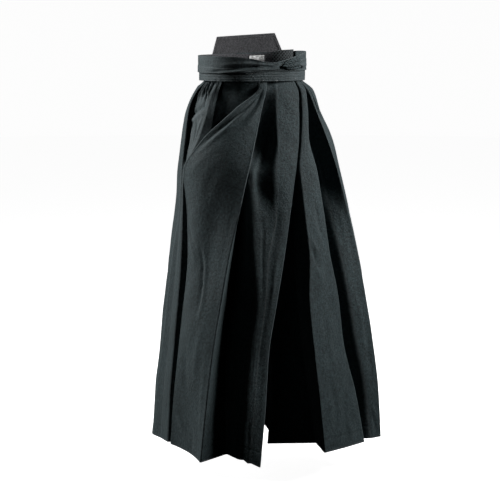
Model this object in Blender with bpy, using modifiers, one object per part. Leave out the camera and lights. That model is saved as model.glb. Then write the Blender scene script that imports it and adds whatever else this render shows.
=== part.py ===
"""Hakama: pleated, divided trousers of dark cotton, in the hollow shape they have when worn.

Metres, +Z up.  The wearer faces -Y, so the wearer's right side is at -X.  The origin is the
middle of the waist opening, level with the waistband.  Each cloth panel is one wall.  It is
drawn as a level section at each height of a short table, and the section runs from fold to
fold, counter-clockwise seen from above, so that its outer face is on the right of its path.
"""
import bpy
from math import cos, radians, sin

# ---- driving sizes ---------------------------------------------------------------------
CLOTH = 0.0016              # thickness of a cloth wall
FOLD_WIDTH = 0.0046         # across the turn of a pressed fold, outside to outside
SEAM_GAP = 0.0003           # between two panels that are sewn to each other
WAIST_HALF_WIDTH = 0.128    # inner face of the waistband
WAIST_HALF_DEPTH = 0.098
WAIST_SETBACK = -0.002      # middle of the waist ring in Y
FRONT_FLATNESS = 2.3        # exponent of the ring in front; 2 would be an ellipse
BACK_FLATNESS = 2.6         # exponent of the ring behind
BAND_THICKNESS = 0.0025
BAND_BOTTOM = -0.027
BAND_TOP = -0.003
TIE_OFFSET = 0.0030         # inner face of a wound tie, measured out from the ring
CROTCH_HEIGHT = -0.440
HEM_HEIGHT = -0.920

PLEAT_TOP = -0.012          # the pleats run straight up inside the waistband to here

# Heights of the sections, from just under the waistband to the hem.
HEIGHTS = (-0.028, -0.050, -0.090, -0.170, -0.240, -0.340,
           -0.440, -0.540, -0.660, -0.790, -0.920)

# ---- where each fold stands at each of the heights (x, y) --------------------------------
# Front of the right leg: from the side seam, round the side, to the middle of the front.
RIGHT_SIDE_HEM = (          # turned-in edge of the side opening, then the side seam
    (-.025, -.089), (-.034, -.099), (-.086, -.098), (-.162, -.068), (-.190, -.035),
    (-.175, -.040), (-.177, -.047), (-.189, -.051), (-.204, -.051), (-.219, -.048), (-.228, -.043))
RIGHT_SIDE_FOLD = (         # slanting edge of the side opening, then the back edge of the panel
    (-.024, -.094), (-.036, -.105), (-.092, -.104), (-.170, -.072), (-.200, -.039),
    (-.195, -.048), (-.197, -.056), (-.209, -.061), (-.224, -.061), (-.237, -.058), (-.245, -.052))
RIGHT_OUTER_PLEAT = (
    (-.007, -.095), (-.016, -.109), (-.031, -.118), (-.060, -.140), (-.087, -.160),
    (-.117, -.170), (-.144, -.174), (-.165, -.177), (-.187, -.178), (-.204, -.178), (-.219, -.178))
RIGHT_OUTER_TUCK = (
    (-.016, -.084), (-.020, -.095), (-.038, -.087), (-.056, -.086), (-.080, -.090),
    (-.084, -.100), (-.092, -.105), (-.101, -.103), (-.117, -.107), (-.127, -.122), (-.137, -.146))
RIGHT_SOFT_FOLD = (            # the rounded corner of the cloth that lies in that tuck
    (.001, -.089), (-.006, -.098), (-.014, -.094), (-.030, -.096), (-.079, -.148),
    (-.081, -.160), (-.084, -.178), (-.082, -.190), (-.099, -.193), (-.117, -.204), (-.131, -.204))
RIGHT_MIDDLE_CREASE = (
    (.020, -.093), (.015, -.106), (.010, -.116), (-.002, -.142), (-.014, -.166),
    (-.019, -.176), (-.045, -.188), (-.057, -.197), (-.076, -.200), (-.094, -.212), (-.110, -.217))
RIGHT_INNER_PLEAT = (
    (.070, -.086), (.073, -.102), (.069, -.114), (.055, -.142), (.0375, -.162),
    (.014, -.180), (-.007, -.192), (-.029, -.200), (-.053, -.205), (-.067, -.215), (-.0857, -.226))
RIGHT_INNER_TUCK = (
    (.059, -.077), (.060, -.092), (.056, -.103), (.042, -.124), (.022, -.138),
    (.002, -.138), (-.012, -.135), (-.026, -.125), (-.045, -.120), (-.060, -.120), (-.074, -.125))
FRONT_SEAM = (              # centre front; below the crotch the inner edges part from it
    (.066, -.074), (.066, -.086), (.062, -.097), (.049, -.117), (.031, -.130),
    (.016, -.122), (.009, -.098), (.009, -.092), (.009, -.090), (.006, -.096), (-.006, -.106))

# Front of the left leg: from the middle of the front to the side seam.
LEFT_INNER_TUCK = (
    (.074, -.078), (.075, -.091), (.073, -.103), (.058, -.128), (.041, -.145),
    (.042, -.148), (.048, -.140), (.056, -.136), (.069, -.137), (.085, -.144), (.102, -.152))
LEFT_INNER_PLEAT = (
    (.080, -.081), (.084, -.100), (.082, -.112), (.066, -.140), (.047, -.168),
    (.050, -.188), (.056, -.202), (.050, -.214), (.058, -.224), (.072, -.230), (.086, -.232))
LEFT_MIDDLE_CREASE = (
    (.090, -.075), (.097, -.097), (.096, -.109), (.087, -.136), (.096, -.160),
    (.109, -.173), (.121, -.182), (.141, -.188), (.155, -.193), (.189, -.196), (.218, -.192))
LEFT_OUTER_TUCK = (
    (.085, -.066), (.090, -.077), (.088, -.078), (.086, -.080), (.096, -.080),
    (.110, -.080), (.122, -.100), (.134, -.113), (.155, -.122), (.195, -.142), (.221, -.162))
LEFT_OUTER_PLEAT = (
    (.094, -.068), (.101, -.073), (.105, -.075), (.117, -.072), (.142, -.087),
    (.153, -.118), (.168, -.146), (.184, -.161), (.202, -.170), (.229, -.173), (.246, -.174))
LEFT_SIDE_CORNER = (
    (.101, -.065), (.112, -.084), (.123, -.098), (.151, -.114), (.170, -.128),
    (.197, -.135), (.220, -.143), (.236, -.155), (.255, -.163), (.272, -.168), (.281, -.169))
LEFT_SIDE_FOLD = (
    (.107, -.058), (.120, -.078), (.134, -.088), (.180, -.064), (.203, -.042),
    (.220, -.048), (.237, -.056), (.251, -.061), (.266, -.061), (.279, -.058), (.286, -.052))
LEFT_SIDE_HEM = (
    (.100, -.053), (.113, -.071), (.127, -.081), (.172, -.062), (.192, -.036),
    (.200, -.040), (.217, -.047), (.231, -.051), (.246, -.051), (.261, -.048), (.270, -.043))

# Back of the left leg: from the side seam to the middle of the back.
LEFT_SLIT_EDGE = (          # above the side seam it runs on forwards, inside the front
    (.092, -.046), (.104, -.062), (.119, -.074), (.155, -.074), (.192, -.030))
LEFT_SIDE_PLEAT = (
    (.118, -.036), (.142, -.048), (.156, -.052), (.184, -.036), (.202, -.024),
    (.219, -.027), (.236, -.032), (.251, -.036), (.268, -.036), (.280, -.034), (.286, -.030))
LEFT_SIDE_LINE = (
    (.123, .004), (.146, .007), (.166, .007), (.186, .003), (.200, .005),
    (.218, .005), (.237, .008), (.250, .011), (.264, .016), (.275, .029), (.281, .042))
LEFT_BACK_CORNER = (
    (.084, .077), (.096, .084), (.115, .087), (.134, .090), (.146, .094),
    (.160, .097), (.176, .100), (.190, .103), (.207, .109), (.223, .114), (.236, .120))
LEFT_BACK_PLEAT = (
    (.009, .091), (.009, .104), (.009, .110), (.010, .116), (.012, .120),
    (.014, .124), (.016, .126), (.025, .129), (.036, .132), (.050, .134), (.062, .136))
LEFT_BACK_TUCK = (
    (.034, .080), (.036, .092), (.038, .098), (.040, .102), (.040, .104),
    (.043, .104), (.048, .103), (.058, .101), (.071, .099), (.087, .097), (.100, .096))
BACK_SEAM = (               # centre back; below the crotch the inner edges part from it
    (.000, .077), (.000, .088), (.000, .093), (.000, .098), (.000, .099),
    (.000, .097), (.000, .090), (.000, .085), (.000, .080), (.000, .077), (.000, .074))

# Back of the right leg: from the middle of the back to the side seam.
RIGHT_BACK_TUCK = (
    (-.034, .080), (-.036, .092), (-.038, .098), (-.040, .102), (-.040, .104),
    (-.042, .104), (-.044, .103), (-.048, .101), (-.051, .099), (-.056, .097), (-.062, .096))
RIGHT_BACK_PLEAT = (
    (-.009, .091), (-.009, .104), (-.009, .110), (-.010, .116), (-.012, .120),
    (-.014, .124), (-.016, .126), (-.020, .129), (-.026, .132), (-.033, .134), (-.040, .136))
RIGHT_BACK_CORNER = (
    (-.084, .077), (-.096, .084), (-.115, .087), (-.134, .090), (-.142, .094),
    (-.153, .097), (-.164, .100), (-.174, .103), (-.186, .109), (-.197, .114), (-.206, .120))
RIGHT_SIDE_LINE = (
    (-.123, .004), (-.149, -.004), (-.168, -.002), (-.182, -.006), (-.190, .000),
    (-.198, -.003), (-.213, .001), (-.224, .007), (-.236, .014), (-.248, .029), (-.254, .042))
RIGHT_HIP_TUCK = (            # a tuck at the hip, a faint crease below it
    (-.117, .006), (-.137, .008), (-.159, .008), (-.171, .002), (-.1845, -.013),
    (-.1975, -.016), (-.2085, -.017), (-.219, -.0165), (-.231, -.013), (-.2425, -.004), (-.248, .005))
RIGHT_SIDE_PLEAT = (
    (-.112, -.036), (-.128, -.046), (-.142, -.057), (-.170, -.052), (-.195, -.026),
    (-.200, -.029), (-.207, -.036), (-.217, -.041), (-.229, -.041), (-.240, -.038), (-.245, -.033))
RIGHT_SLIT_EDGE = (
    (-.100, -.042), (-.112, -.050), (-.127, -.058), (-.150, -.070), (-.189, -.029))

# How far the four inner edges stand from the two seams at the heights below the crotch.
PARTING_HEIGHTS = (-0.440, -0.540, -0.660, -0.790, -0.920)
RIGHT_FRONT_PARTING = ((0, 0), (-.026, .004), (-.044, .022), (-.053, .040), (-.049, .061))
LEFT_FRONT_PARTING = ((0, 0), (.002, 0), (.001, -.001), (-.001, -.001), (-.002, 0))
RIGHT_BACK_PARTING = ((0, 0), (-.012, -.002), (-.024, -.006), (-.034, -.008), (-.040, -.008))
LEFT_BACK_PARTING = ((0, 0), (.020, 0), (.036, 0), (.050, 0), (.062, .001))


# ---- sections ----------------------------------------------------------------------------
def smooth_value(knots, values, at):
    """Read one number off a curve through the values that never overshoots them."""
    falling = knots[-1] < knots[0]
    place = [-k for k in knots] if falling else list(knots)
    at = -at if falling else at
    at = min(max(at, place[0]), place[-1])
    slopes = [(b - a) / (q - p) for a, b, p, q in zip(values, values[1:], place, place[1:])]
    tangents = [slopes[0]]
    for before, after in zip(slopes, slopes[1:]):
        tangents.append(2 * before * after / (before + after) if before * after > 0 else 0.0)
    tangents.append(slopes[-1])
    i = max(k for k in range(len(place) - 1) if place[k] <= at)
    span = place[i + 1] - place[i]
    t = (at - place[i]) / span
    return (values[i] * (1 + 2 * t) * (1 - t) ** 2 + values[i + 1] * t * t * (3 - 2 * t)
            + span * (tangents[i] * t * (1 - t) ** 2 - tangents[i + 1] * t * t * (1 - t)))


def on_path(path, z, heights=HEIGHTS):
    """Where a fold stands at height z."""
    heights = heights[:len(path)]
    return tuple(smooth_value(heights, [point[axis] for point in path], z) for axis in (0, 1))


def parted(seam, parting, shift):
    """The inner edge of one panel: on its seam down to the crotch, then away from it."""
    def stand(z):
        x, y = on_path(seam, z)
        if z < CROTCH_HEIGHT:
            dx, dy = on_path(parting, z, PARTING_HEIGHTS)
            x, y = x + dx, y + dy
        return x + shift, y
    return stand


def fixed(path):
    """A fold whose places are all in its table."""
    return lambda z: on_path(path, z)


def behind(upper, seam):
    """The front edge of a back panel: its own above the side seam, then along that seam."""
    path = upper + tuple((x, y + 2 * SEAM_GAP) for x, y in seam[len(upper):])
    return lambda z: on_path(path, z)


class Fold:
    """A fold or edge of a panel, with the stretch of cloth that leads on from it."""
    def __init__(self, stand, steps=2, bow=(0, 0, 0), soft=0.0, lift=0.0):
        self.stand = stand      # place (x, y) at a height
        self.steps = steps      # pieces that the next stretch is cut into
        self.bow = bow          # how far that stretch swells out at the waist, hip and hem
        self.soft = soft        # reach of a rounded corner; 0 is a pressed fold
        self.lift = lift        # how much higher than the hem the fold ends


BOW_HEIGHTS = (-0.050, -0.240, -0.920)


def unit(dx, dy):
    length = (dx * dx + dy * dy) ** 0.5
    return dx / length, dy / length


def turned_fold(before, here, after, soft):
    """The points that carry the cloth round one fold, in the order of the section."""
    ux, uy = unit(before[0] - here[0], before[1] - here[1])
    wx, wy = unit(after[0] - here[0], after[1] - here[1])
    if soft:
        reach_u = min(soft, 0.45 * ((before[0] - here[0]) ** 2 + (before[1] - here[1]) ** 2) ** 0.5)
        reach_w = min(soft, 0.45 * ((after[0] - here[0]) ** 2 + (after[1] - here[1]) ** 2) ** 0.5)
        start = (here[0] + ux * reach_u, here[1] + uy * reach_u)
        end = (here[0] + wx * reach_w, here[1] + wy * reach_w)
        middle = tuple(0.25 * s + 0.5 * h + 0.25 * e for s, h, e in zip(start, here, end))
        return [start, middle, end]
    across = unit(ux - wx, uy - wy)
    sharp = 1 + ux * wx + uy * wy
    tip = (0.3 * FOLD_WIDTH * sharp / 2)
    if sharp > 0.05:
        inward = unit(ux + wx, uy + wy)
    else:
        inward = (0, 0)
    half = FOLD_WIDTH / 2
    return [(here[0] + across[0] * half, here[1] + across[1] * half),
            (here[0] - inward[0] * tip, here[1] - inward[1] * tip),
            (here[0] - across[0] * half, here[1] - across[1] * half)]


def section(folds, z):
    """The points of one panel at one height, from its first edge to its last."""
    stands = [fold.stand(z) for fold in folds]
    groups = [[stands[0]]]
    for i in range(1, len(folds) - 1):
        groups.append(turned_fold(stands[i - 1], stands[i], stands[i + 1], folds[i].soft))
    groups.append([stands[-1]])
    drop = max(0.0, z / HEM_HEIGHT) ** 4
    points = []
    for i, group in enumerate(groups):
        height = z + folds[i].lift * drop
        points += [(x, y, height) for x, y in group]
        if i == len(groups) - 1:
            break
        (ax, ay), (bx, by) = group[-1], groups[i + 1][0]
        out = unit(by - ay, ax - bx)
        bow = smooth_value(BOW_HEIGHTS, folds[i].bow, z)
        next_height = z + folds[i + 1].lift * drop
        for step in range(1, folds[i].steps):
            t = step / folds[i].steps
            swell = 4 * t * (1 - t) * bow
            points.append((ax + (bx - ax) * t + out[0] * swell, ay + (by - ay) * t + out[1] * swell,
                           height + (next_height - height) * t))
    return points


def levels(top, bottom):
    """The table's heights between two limits, with one more section between each pair."""
    marks = [top] + [h for h in HEIGHTS if bottom < h < top] + [bottom]
    found = []
    for upper, lower in zip(marks, marks[1:]):
        found += [upper, (upper + lower) / 2] if upper - lower > 0.025 else [upper]
    return found + [bottom]


# ---- solids ------------------------------------------------------------------------------
def fabric(name, colour, roughness):
    material = bpy.data.materials.new(name)
    material.use_nodes = True
    shader = material.node_tree.nodes["Principled BSDF"]
    shader.inputs["Base Color"].default_value = (*colour, 1)
    shader.inputs["Roughness"].default_value = roughness
    shader.inputs["Metallic"].default_value = 0
    return material


def cloth_wall(name, rows, thickness, material):
    """A sheet through rows of points, its outer face on the right of each row's path."""
    width = len(rows[0])
    points = [point for row in rows for point in row]
    faces = []
    for r in range(len(rows) - 1):
        for c in range(width - 1):
            corner = r * width + c
            faces.append((corner, corner + width, corner + width + 1, corner + 1))
    mesh = bpy.data.meshes.new(name)
    mesh.from_pydata(points, [], faces)
    mesh.materials.append(material)
    mesh.shade_smooth()
    mesh.set_sharp_from_angle(angle=radians(50))
    wall = bpy.data.objects.new(name, mesh)
    hakama.objects.link(wall)
    shell = wall.modifiers.new("thickness", "SOLIDIFY")
    shell.thickness = thickness
    shell.offset = -1
    return wall


def panel(name, folds, top=HEIGHTS[0], bottom=HEM_HEIGHT):
    rows = [section(folds, z) for z in levels(top, bottom)]
    if top == HEIGHTS[0]:
        rows.insert(0, [(x, y, PLEAT_TOP) for x, y, z in rows[0]])
    return cloth_wall(name, rows, CLOTH, cotton)


def ring_point(angle, offset):
    """A point on the waist ring; 0 degrees is the front, +90 the wearer's left side."""
    flat = FRONT_FLATNESS if abs(angle) <= 90 else BACK_FLATNESS
    s, c = sin(radians(angle)), cos(radians(angle))
    x = (abs(s) ** (2 / flat)) * (1 if s > 0 else -1)
    y = (abs(c) ** (2 / flat)) * (1 if c > 0 else -1)
    return (x * (WAIST_HALF_WIDTH + offset), WAIST_SETBACK - y * (WAIST_HALF_DEPTH + offset))


def wound_strip(name, stations, thickness, material, step=6.0, rows=3):
    """A flat strip wound round the waist.  A station is (angle, bottom, top, offset), where
    the offset is how far the strip's inner face lies outside the ring."""
    angles = [station[0] for station in stations]
    count = max(2, round((angles[-1] - angles[0]) / step))
    grid = []
    for r in range(rows):
        share = r / (rows - 1)
        row = []
        for i in range(count + 1):
            angle = angles[0] + (angles[-1] - angles[0]) * i / count
            bottom, top, offset = (smooth_value(angles, [s[k] for s in stations], angle)
                                   for k in (1, 2, 3))
            x, y = ring_point(angle, offset + thickness)
            row.append((x, y, top + (bottom - top) * share))
        grid.append(row)
    return cloth_wall(name, grid, thickness, material)


for old in list(bpy.data.objects):
    bpy.data.objects.remove(old, do_unlink=True)
hakama = bpy.data.collections.new("hakama")
bpy.context.scene.collection.children.link(hakama)
cotton = fabric("black cotton", (0.035, 0.045, 0.047), 0.85)
board_cover = fabric("board cover", (0.050, 0.047, 0.052), 0.75)
label_cloth = fabric("label cloth", (0.80, 0.80, 0.78), 0.7)

# ---- the two legs ------------------------------------------------------------------------
SIDE_LIFT = 0.015
panel("front_right", [
    Fold(fixed(RIGHT_SIDE_HEM), steps=1, lift=SIDE_LIFT),
    Fold(fixed(RIGHT_SIDE_FOLD), steps=5, bow=(.001, .024, -.010), lift=SIDE_LIFT),
    Fold(fixed(RIGHT_OUTER_PLEAT), steps=2),
    Fold(fixed(RIGHT_OUTER_TUCK), steps=2),
    Fold(fixed(RIGHT_SOFT_FOLD), steps=2, soft=.012, lift=.002),
    Fold(fixed(RIGHT_MIDDLE_CREASE), steps=2, bow=(.002, .002, 0), soft=.004, lift=-.006),
    Fold(fixed(RIGHT_INNER_PLEAT), steps=2, lift=-.016),
    Fold(fixed(RIGHT_INNER_TUCK), steps=2, lift=-.006),
    Fold(parted(FRONT_SEAM, RIGHT_FRONT_PARTING, -SEAM_GAP / 2))])
panel("front_left", [
    Fold(parted(FRONT_SEAM, LEFT_FRONT_PARTING, SEAM_GAP / 2), steps=2),
    Fold(fixed(LEFT_INNER_TUCK), steps=2),
    Fold(fixed(LEFT_INNER_PLEAT), steps=3, bow=(0, .002, .002)),
    Fold(fixed(LEFT_MIDDLE_CREASE), steps=2),
    Fold(fixed(LEFT_OUTER_TUCK), steps=2),
    Fold(fixed(LEFT_OUTER_PLEAT), steps=2, soft=.010),
    Fold(fixed(LEFT_SIDE_CORNER), steps=4, bow=(.001, .010, .004), soft=.005),
    Fold(fixed(LEFT_SIDE_FOLD), steps=1, lift=SIDE_LIFT),
    Fold(fixed(LEFT_SIDE_HEM), lift=SIDE_LIFT)])
panel("back_left", [
    Fold(behind(LEFT_SLIT_EDGE, LEFT_SIDE_HEM), steps=1, lift=SIDE_LIFT),
    Fold(fixed(LEFT_SIDE_PLEAT), steps=2, bow=(.001, .001, 0), lift=SIDE_LIFT),
    Fold(fixed(LEFT_SIDE_LINE), steps=3, bow=(.006, .012, .008), soft=.012, lift=.010),
    Fold(fixed(LEFT_BACK_CORNER), steps=4, bow=(.004, .008, .004), soft=.020),
    Fold(fixed(LEFT_BACK_PLEAT), steps=2),
    Fold(fixed(LEFT_BACK_TUCK), steps=2),
    Fold(parted(BACK_SEAM, LEFT_BACK_PARTING, SEAM_GAP / 2))])
panel("back_right", [
    Fold(parted(BACK_SEAM, RIGHT_BACK_PARTING, -SEAM_GAP / 2), steps=2),
    Fold(fixed(RIGHT_BACK_TUCK), steps=2),
    Fold(fixed(RIGHT_BACK_PLEAT), steps=4, bow=(.004, .008, .004)),
    Fold(fixed(RIGHT_BACK_CORNER), steps=3, bow=(.006, .012, .008), soft=.020, lift=.005),
    Fold(fixed(RIGHT_SIDE_LINE), steps=1, lift=SIDE_LIFT),
    Fold(fixed(RIGHT_HIP_TUCK), steps=2, bow=(.005, .001, 0), lift=SIDE_LIFT),
    Fold(fixed(RIGHT_SIDE_PLEAT), steps=1, lift=SIDE_LIFT),
    Fold(behind(RIGHT_SLIT_EDGE, RIGHT_SIDE_HEM), lift=SIDE_LIFT)])

# ---- gussets: the inner side of each leg, from the crotch down -----------------------------
def inset(stand, dy):
    return lambda z: (stand(z)[0], stand(z)[1] + dy)


GUSSET_GAP = CLOTH + SEAM_GAP        # clears the thickness of the panel that it is sewn to
panel("gusset_right", [
    Fold(inset(parted(FRONT_SEAM, RIGHT_FRONT_PARTING, -SEAM_GAP), GUSSET_GAP), steps=4),
    Fold(inset(parted(BACK_SEAM, RIGHT_BACK_PARTING, -SEAM_GAP), -GUSSET_GAP))],
    top=CROTCH_HEIGHT)
panel("gusset_left", [
    Fold(inset(parted(BACK_SEAM, LEFT_BACK_PARTING, SEAM_GAP), -GUSSET_GAP), steps=4,
         bow=(0, 0, -.012)),
    Fold(inset(parted(FRONT_SEAM, LEFT_FRONT_PARTING, SEAM_GAP), GUSSET_GAP))],
    top=CROTCH_HEIGHT)

# ---- waistbands ---------------------------------------------------------------------
# Stations: angle round the waist, bottom edge, top edge, offset of the inner face.
wound_strip("front_waistband", [(-100, BAND_BOTTOM, BAND_TOP, 0), (100, BAND_BOTTOM, BAND_TOP, 0)],
            BAND_THICKNESS, cotton)
wound_strip("back_waistband", [(100.3, BAND_BOTTOM, BAND_TOP, 0), (259.7, BAND_BOTTOM, BAND_TOP, 0)],
            BAND_THICKNESS, cotton)
# ---- the cloth folded in at the right side opening ------------------------------------------
# It shows as a triangle between the slanting fold and the edge of the opening.  Its top is
# sewn inside the waistband, at three angles round the ring.
FLAP_TOP = [ring_point(angle, -2 * SEAM_GAP) for angle in (-58, -36, -12)]
FLAP_HEIGHTS = ((-.012, -.012, -.012), (-.028, -.028, -.028), (-.050, -.050, -.050),
                (-.090, -.078, -.062), (-.130, -.105, -.075))
FLAP_EDGE = (FLAP_TOP[0], FLAP_TOP[0], (-.124, -.060), (-.135, -.067), (-.144, -.072))
FLAP_MIDDLE = (FLAP_TOP[1], FLAP_TOP[1], (-.090, -.083), (-.097, -.086), (-.106, -.088))
FLAP_INNER = (FLAP_TOP[2], FLAP_TOP[2], (-.034, -.0915), (-.044, -.093), (-.054, -.094))


def flap_row(heights, *stands):
    row = []
    for (ax, ay), (bx, by), za, zb in zip(stands, stands[1:], heights, heights[1:]):
        for t in (0, 1 / 3, 2 / 3):
            row.append((ax + (bx - ax) * t, ay + (by - ay) * t, za + (zb - za) * t))
    return row + [(*stands[-1], heights[-1])]


cloth_wall("side_fold_right",
           [flap_row(*row) for row in zip(FLAP_HEIGHTS, FLAP_EDGE, FLAP_MIDDLE, FLAP_INNER)],
           CLOTH, cotton)

# ---- ties -----------------------------------------------------------------------------------
INNER_BAND_OFFSET = -(CLOTH + 2 * SEAM_GAP)
wound_strip("back_inner_band", [(101, -.010, .047, INNER_BAND_OFFSET),
                                (125, -.010, .045, INNER_BAND_OFFSET),
                                (152, -.010, .030, INNER_BAND_OFFSET),
                                (258, -.010, .030, INNER_BAND_OFFSET)],
            CLOTH, cotton, rows=2)
TIE_CROSSING = 0.0022       # how much further out the tie lies that passes over the other
wound_strip("tie_left_wrap", [(-5, -.002, .015, TIE_OFFSET), (10, -.002, .020, TIE_OFFSET),
                              (30, -.002, .032, TIE_OFFSET), (60, -.002, .042, TIE_OFFSET),
                              (90, .000, .044, TIE_OFFSET), (130, .000, .040, TIE_OFFSET),
                              (179.6, .000, .038, TIE_OFFSET)],
            CLOTH, cotton)
wound_strip("tie_right_wrap", [(-179.6, .000, .036, TIE_OFFSET), (-130, -.004, .034, TIE_OFFSET),
                               (-90, -.008, .033, TIE_OFFSET), (-40, -.007, .031, TIE_OFFSET),
                               (-18, -.005, .026, TIE_OFFSET),
                               (-8, -.001, .021, TIE_OFFSET + TIE_CROSSING),
                               (7, .001, .014, TIE_OFFSET + TIE_CROSSING)],
            CLOTH, cotton)

# The tied ends are tucked flat behind the band, and show as a short folded pad.
KNOT_OFFSET = TIE_OFFSET + CLOTH + SEAM_GAP
wound_strip("tie_knot", [(12, .008, .020, KNOT_OFFSET), (18, .004, .029, KNOT_OFFSET + .002),
                         (30, .006, .034, KNOT_OFFSET + .003), (38, .012, .030, KNOT_OFFSET)],
            .0045, cotton, step=4)

# ---- the stiff back board -----------------------------------------------------------------------
BOARD_THICKNESS = 0.004
BOARD_MIDDLE = 0.033        # it sits a little to the wearer's left
BOARD_HALF_BOTTOM = 0.108
BOARD_HALF_TOP = 0.079
BOARD_BOTTOM = 0.004
BOARD_TOP = 0.0825
BOARD_ROLL = 0.060          # rise of the top edge towards the wearer's left, per metre
BOARD_LEAN = 0.13           # lean away from the body, per metre of height
BOARD_CURVE = 0.7           # how much it bends round the back
BOARD_OFFSET = TIE_OFFSET + CLOTH + 3 * SEAM_GAP
BOARD_COLUMNS = 12
BOARD_ROWS = 4


def back_depth(x, offset):
    """Y of the ring's back at a distance x from the middle."""
    across = min(1.0, abs(x) / (WAIST_HALF_WIDTH + offset))
    return WAIST_SETBACK + (WAIST_HALF_DEPTH + offset) * (1 - across ** BACK_FLATNESS) ** (1 / BACK_FLATNESS)


board_back = back_depth(0, BOARD_OFFSET + BOARD_THICKNESS)
board_rows = []
for r in range(BOARD_ROWS + 1):
    share = r / BOARD_ROWS
    half = BOARD_HALF_TOP + (BOARD_HALF_BOTTOM - BOARD_HALF_TOP) * share
    row = []
    for c in range(BOARD_COLUMNS + 1):
        x = BOARD_MIDDLE + half * (1 - 2 * c / BOARD_COLUMNS)
        z = BOARD_TOP + (BOARD_BOTTOM - BOARD_TOP) * share + BOARD_ROLL * (x - BOARD_MIDDLE)
        lean = BOARD_LEAN * (z - BOARD_BOTTOM)
        row.append((x, board_back - BOARD_CURVE * x * x + lean, z))
    board_rows.append(row)
cloth_wall("koshi_ita", board_rows, BOARD_THICKNESS, board_cover)

# ---- a blank care label, sewn inside at the foot of the board ----------------------------------
LABEL_MIDDLE = 0.053
LABEL_HALF_WIDTH = 0.019
LABEL_BOTTOM = 0.008
LABEL_TOP = 0.0315
LABEL_THICKNESS = 0.001
LABEL_OFFSET = INNER_BAND_OFFSET - LABEL_THICKNESS - 2 * SEAM_GAP
label_rows = []
for z in (LABEL_TOP, LABEL_BOTTOM):
    row = []
    for side in (1, 0, -1):
        x = LABEL_MIDDLE + side * LABEL_HALF_WIDTH
        row.append((x, back_depth(x, LABEL_OFFSET + LABEL_THICKNESS), z + BOARD_ROLL * (x - LABEL_MIDDLE)))
    label_rows.append(row)
cloth_wall("care_label", label_rows, LABEL_THICKNESS, label_cloth)
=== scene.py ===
"""Hakama: pleated, divided trousers of black cotton twill, standing in the hollow shape of wear.

Metres, +Z up.  The front faces -Y and the wearer's left is at +X.  The script follows the
garment as it is sewn: legs, gussets, waistbands, ties, back board and label.
"""
from math import cos, pi, radians, sin

import bpy
import numpy as np
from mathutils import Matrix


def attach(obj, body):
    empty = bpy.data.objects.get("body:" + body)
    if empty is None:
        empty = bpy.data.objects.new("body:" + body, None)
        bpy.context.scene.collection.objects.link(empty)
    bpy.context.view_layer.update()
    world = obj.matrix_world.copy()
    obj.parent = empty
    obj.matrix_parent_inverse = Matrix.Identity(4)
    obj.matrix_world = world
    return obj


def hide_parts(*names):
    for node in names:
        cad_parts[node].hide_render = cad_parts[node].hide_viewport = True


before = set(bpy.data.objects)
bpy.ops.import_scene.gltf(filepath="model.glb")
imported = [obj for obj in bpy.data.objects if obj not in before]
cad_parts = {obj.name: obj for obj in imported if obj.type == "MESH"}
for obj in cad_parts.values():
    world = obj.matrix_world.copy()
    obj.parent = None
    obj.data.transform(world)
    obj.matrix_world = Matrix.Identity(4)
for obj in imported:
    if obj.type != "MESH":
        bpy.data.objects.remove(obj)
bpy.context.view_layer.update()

# ---- Front of the right leg --------------------------------------------------
# One width of black cotton twill, laid in pleats that are pressed sharp.  The pleats are sewn
# flat inside the waistband and hang free below it; the side edge is turned in where the side
# opening slants down from the waist, and the hem is turned up and stitched.
CLOTH = 0.0011              # thickness of the twill
HEM_CLOTH = 0.0019          # twill and its turned-up hem
HEM_DEPTH = 0.032
HEM_WEAR = 0.006            # how far up from the hem's edge it is rubbed
FOLD_WIDTH = 0.0046         # across the turn of a pressed fold
FOLD_PALE_REACH = 0.018           # how far from a fold it is painted paler, as a share of the stretch beside it; partly rubbed dye, partly painted highlight
SEAM_GAP = 0.0003
PLEAT_TOP = -0.012          # the pleats run straight up inside the waistband to here
CROTCH_HEIGHT = -0.440
HEM_HEIGHT = -0.920
HEM_LINE = HEM_HEIGHT + HEM_DEPTH   # the row of stitches that holds the hem
SIDE_LIFT = 0.015           # the side seams end this much above the front hem
ROW_PITCH = 0.0065
COLUMN_PITCH = 0.0058

# Each table gives where a fold stands, (x, y), at each of these heights.
HEIGHTS = (-0.028, -0.050, -0.090, -0.170, -0.240, -0.340,
           -0.440, -0.540, -0.660, -0.790, -0.920)
RIGHT_SIDE_HEM = (
    (-.025, -.089), (-.034, -.099), (-.086, -.098), (-.162, -.068), (-.190, -.035),
    (-.175, -.040), (-.177, -.047), (-.189, -.051), (-.204, -.051), (-.219, -.048), (-.228, -.043))
RIGHT_SIDE_FOLD = (
    (-.024, -.094), (-.036, -.105), (-.092, -.104), (-.170, -.072), (-.200, -.039),
    (-.195, -.048), (-.197, -.056), (-.209, -.061), (-.224, -.061), (-.237, -.058), (-.245, -.052))
RIGHT_OUTER_PLEAT = (
    (-.007, -.095), (-.016, -.109), (-.031, -.118), (-.060, -.140), (-.087, -.160),
    (-.117, -.170), (-.144, -.174), (-.165, -.177), (-.187, -.178), (-.204, -.178), (-.219, -.178))
RIGHT_OUTER_TUCK = (
    (-.016, -.084), (-.020, -.095), (-.038, -.087), (-.056, -.086), (-.080, -.090),
    (-.084, -.100), (-.092, -.105), (-.101, -.103), (-.117, -.107), (-.127, -.122), (-.137, -.146))
RIGHT_SOFT_FOLD = (            # the rounded corner of the cloth that lies in that tuck
    (.001, -.089), (-.006, -.098), (-.014, -.094), (-.030, -.096), (-.079, -.148),
    (-.081, -.160), (-.084, -.178), (-.082, -.190), (-.099, -.193), (-.117, -.204), (-.131, -.204))
RIGHT_MIDDLE_CREASE = (
    (.020, -.093), (.015, -.106), (.010, -.116), (-.002, -.142), (-.014, -.166),
    (-.019, -.176), (-.045, -.188), (-.057, -.197), (-.076, -.200), (-.094, -.212), (-.110, -.217))
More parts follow.
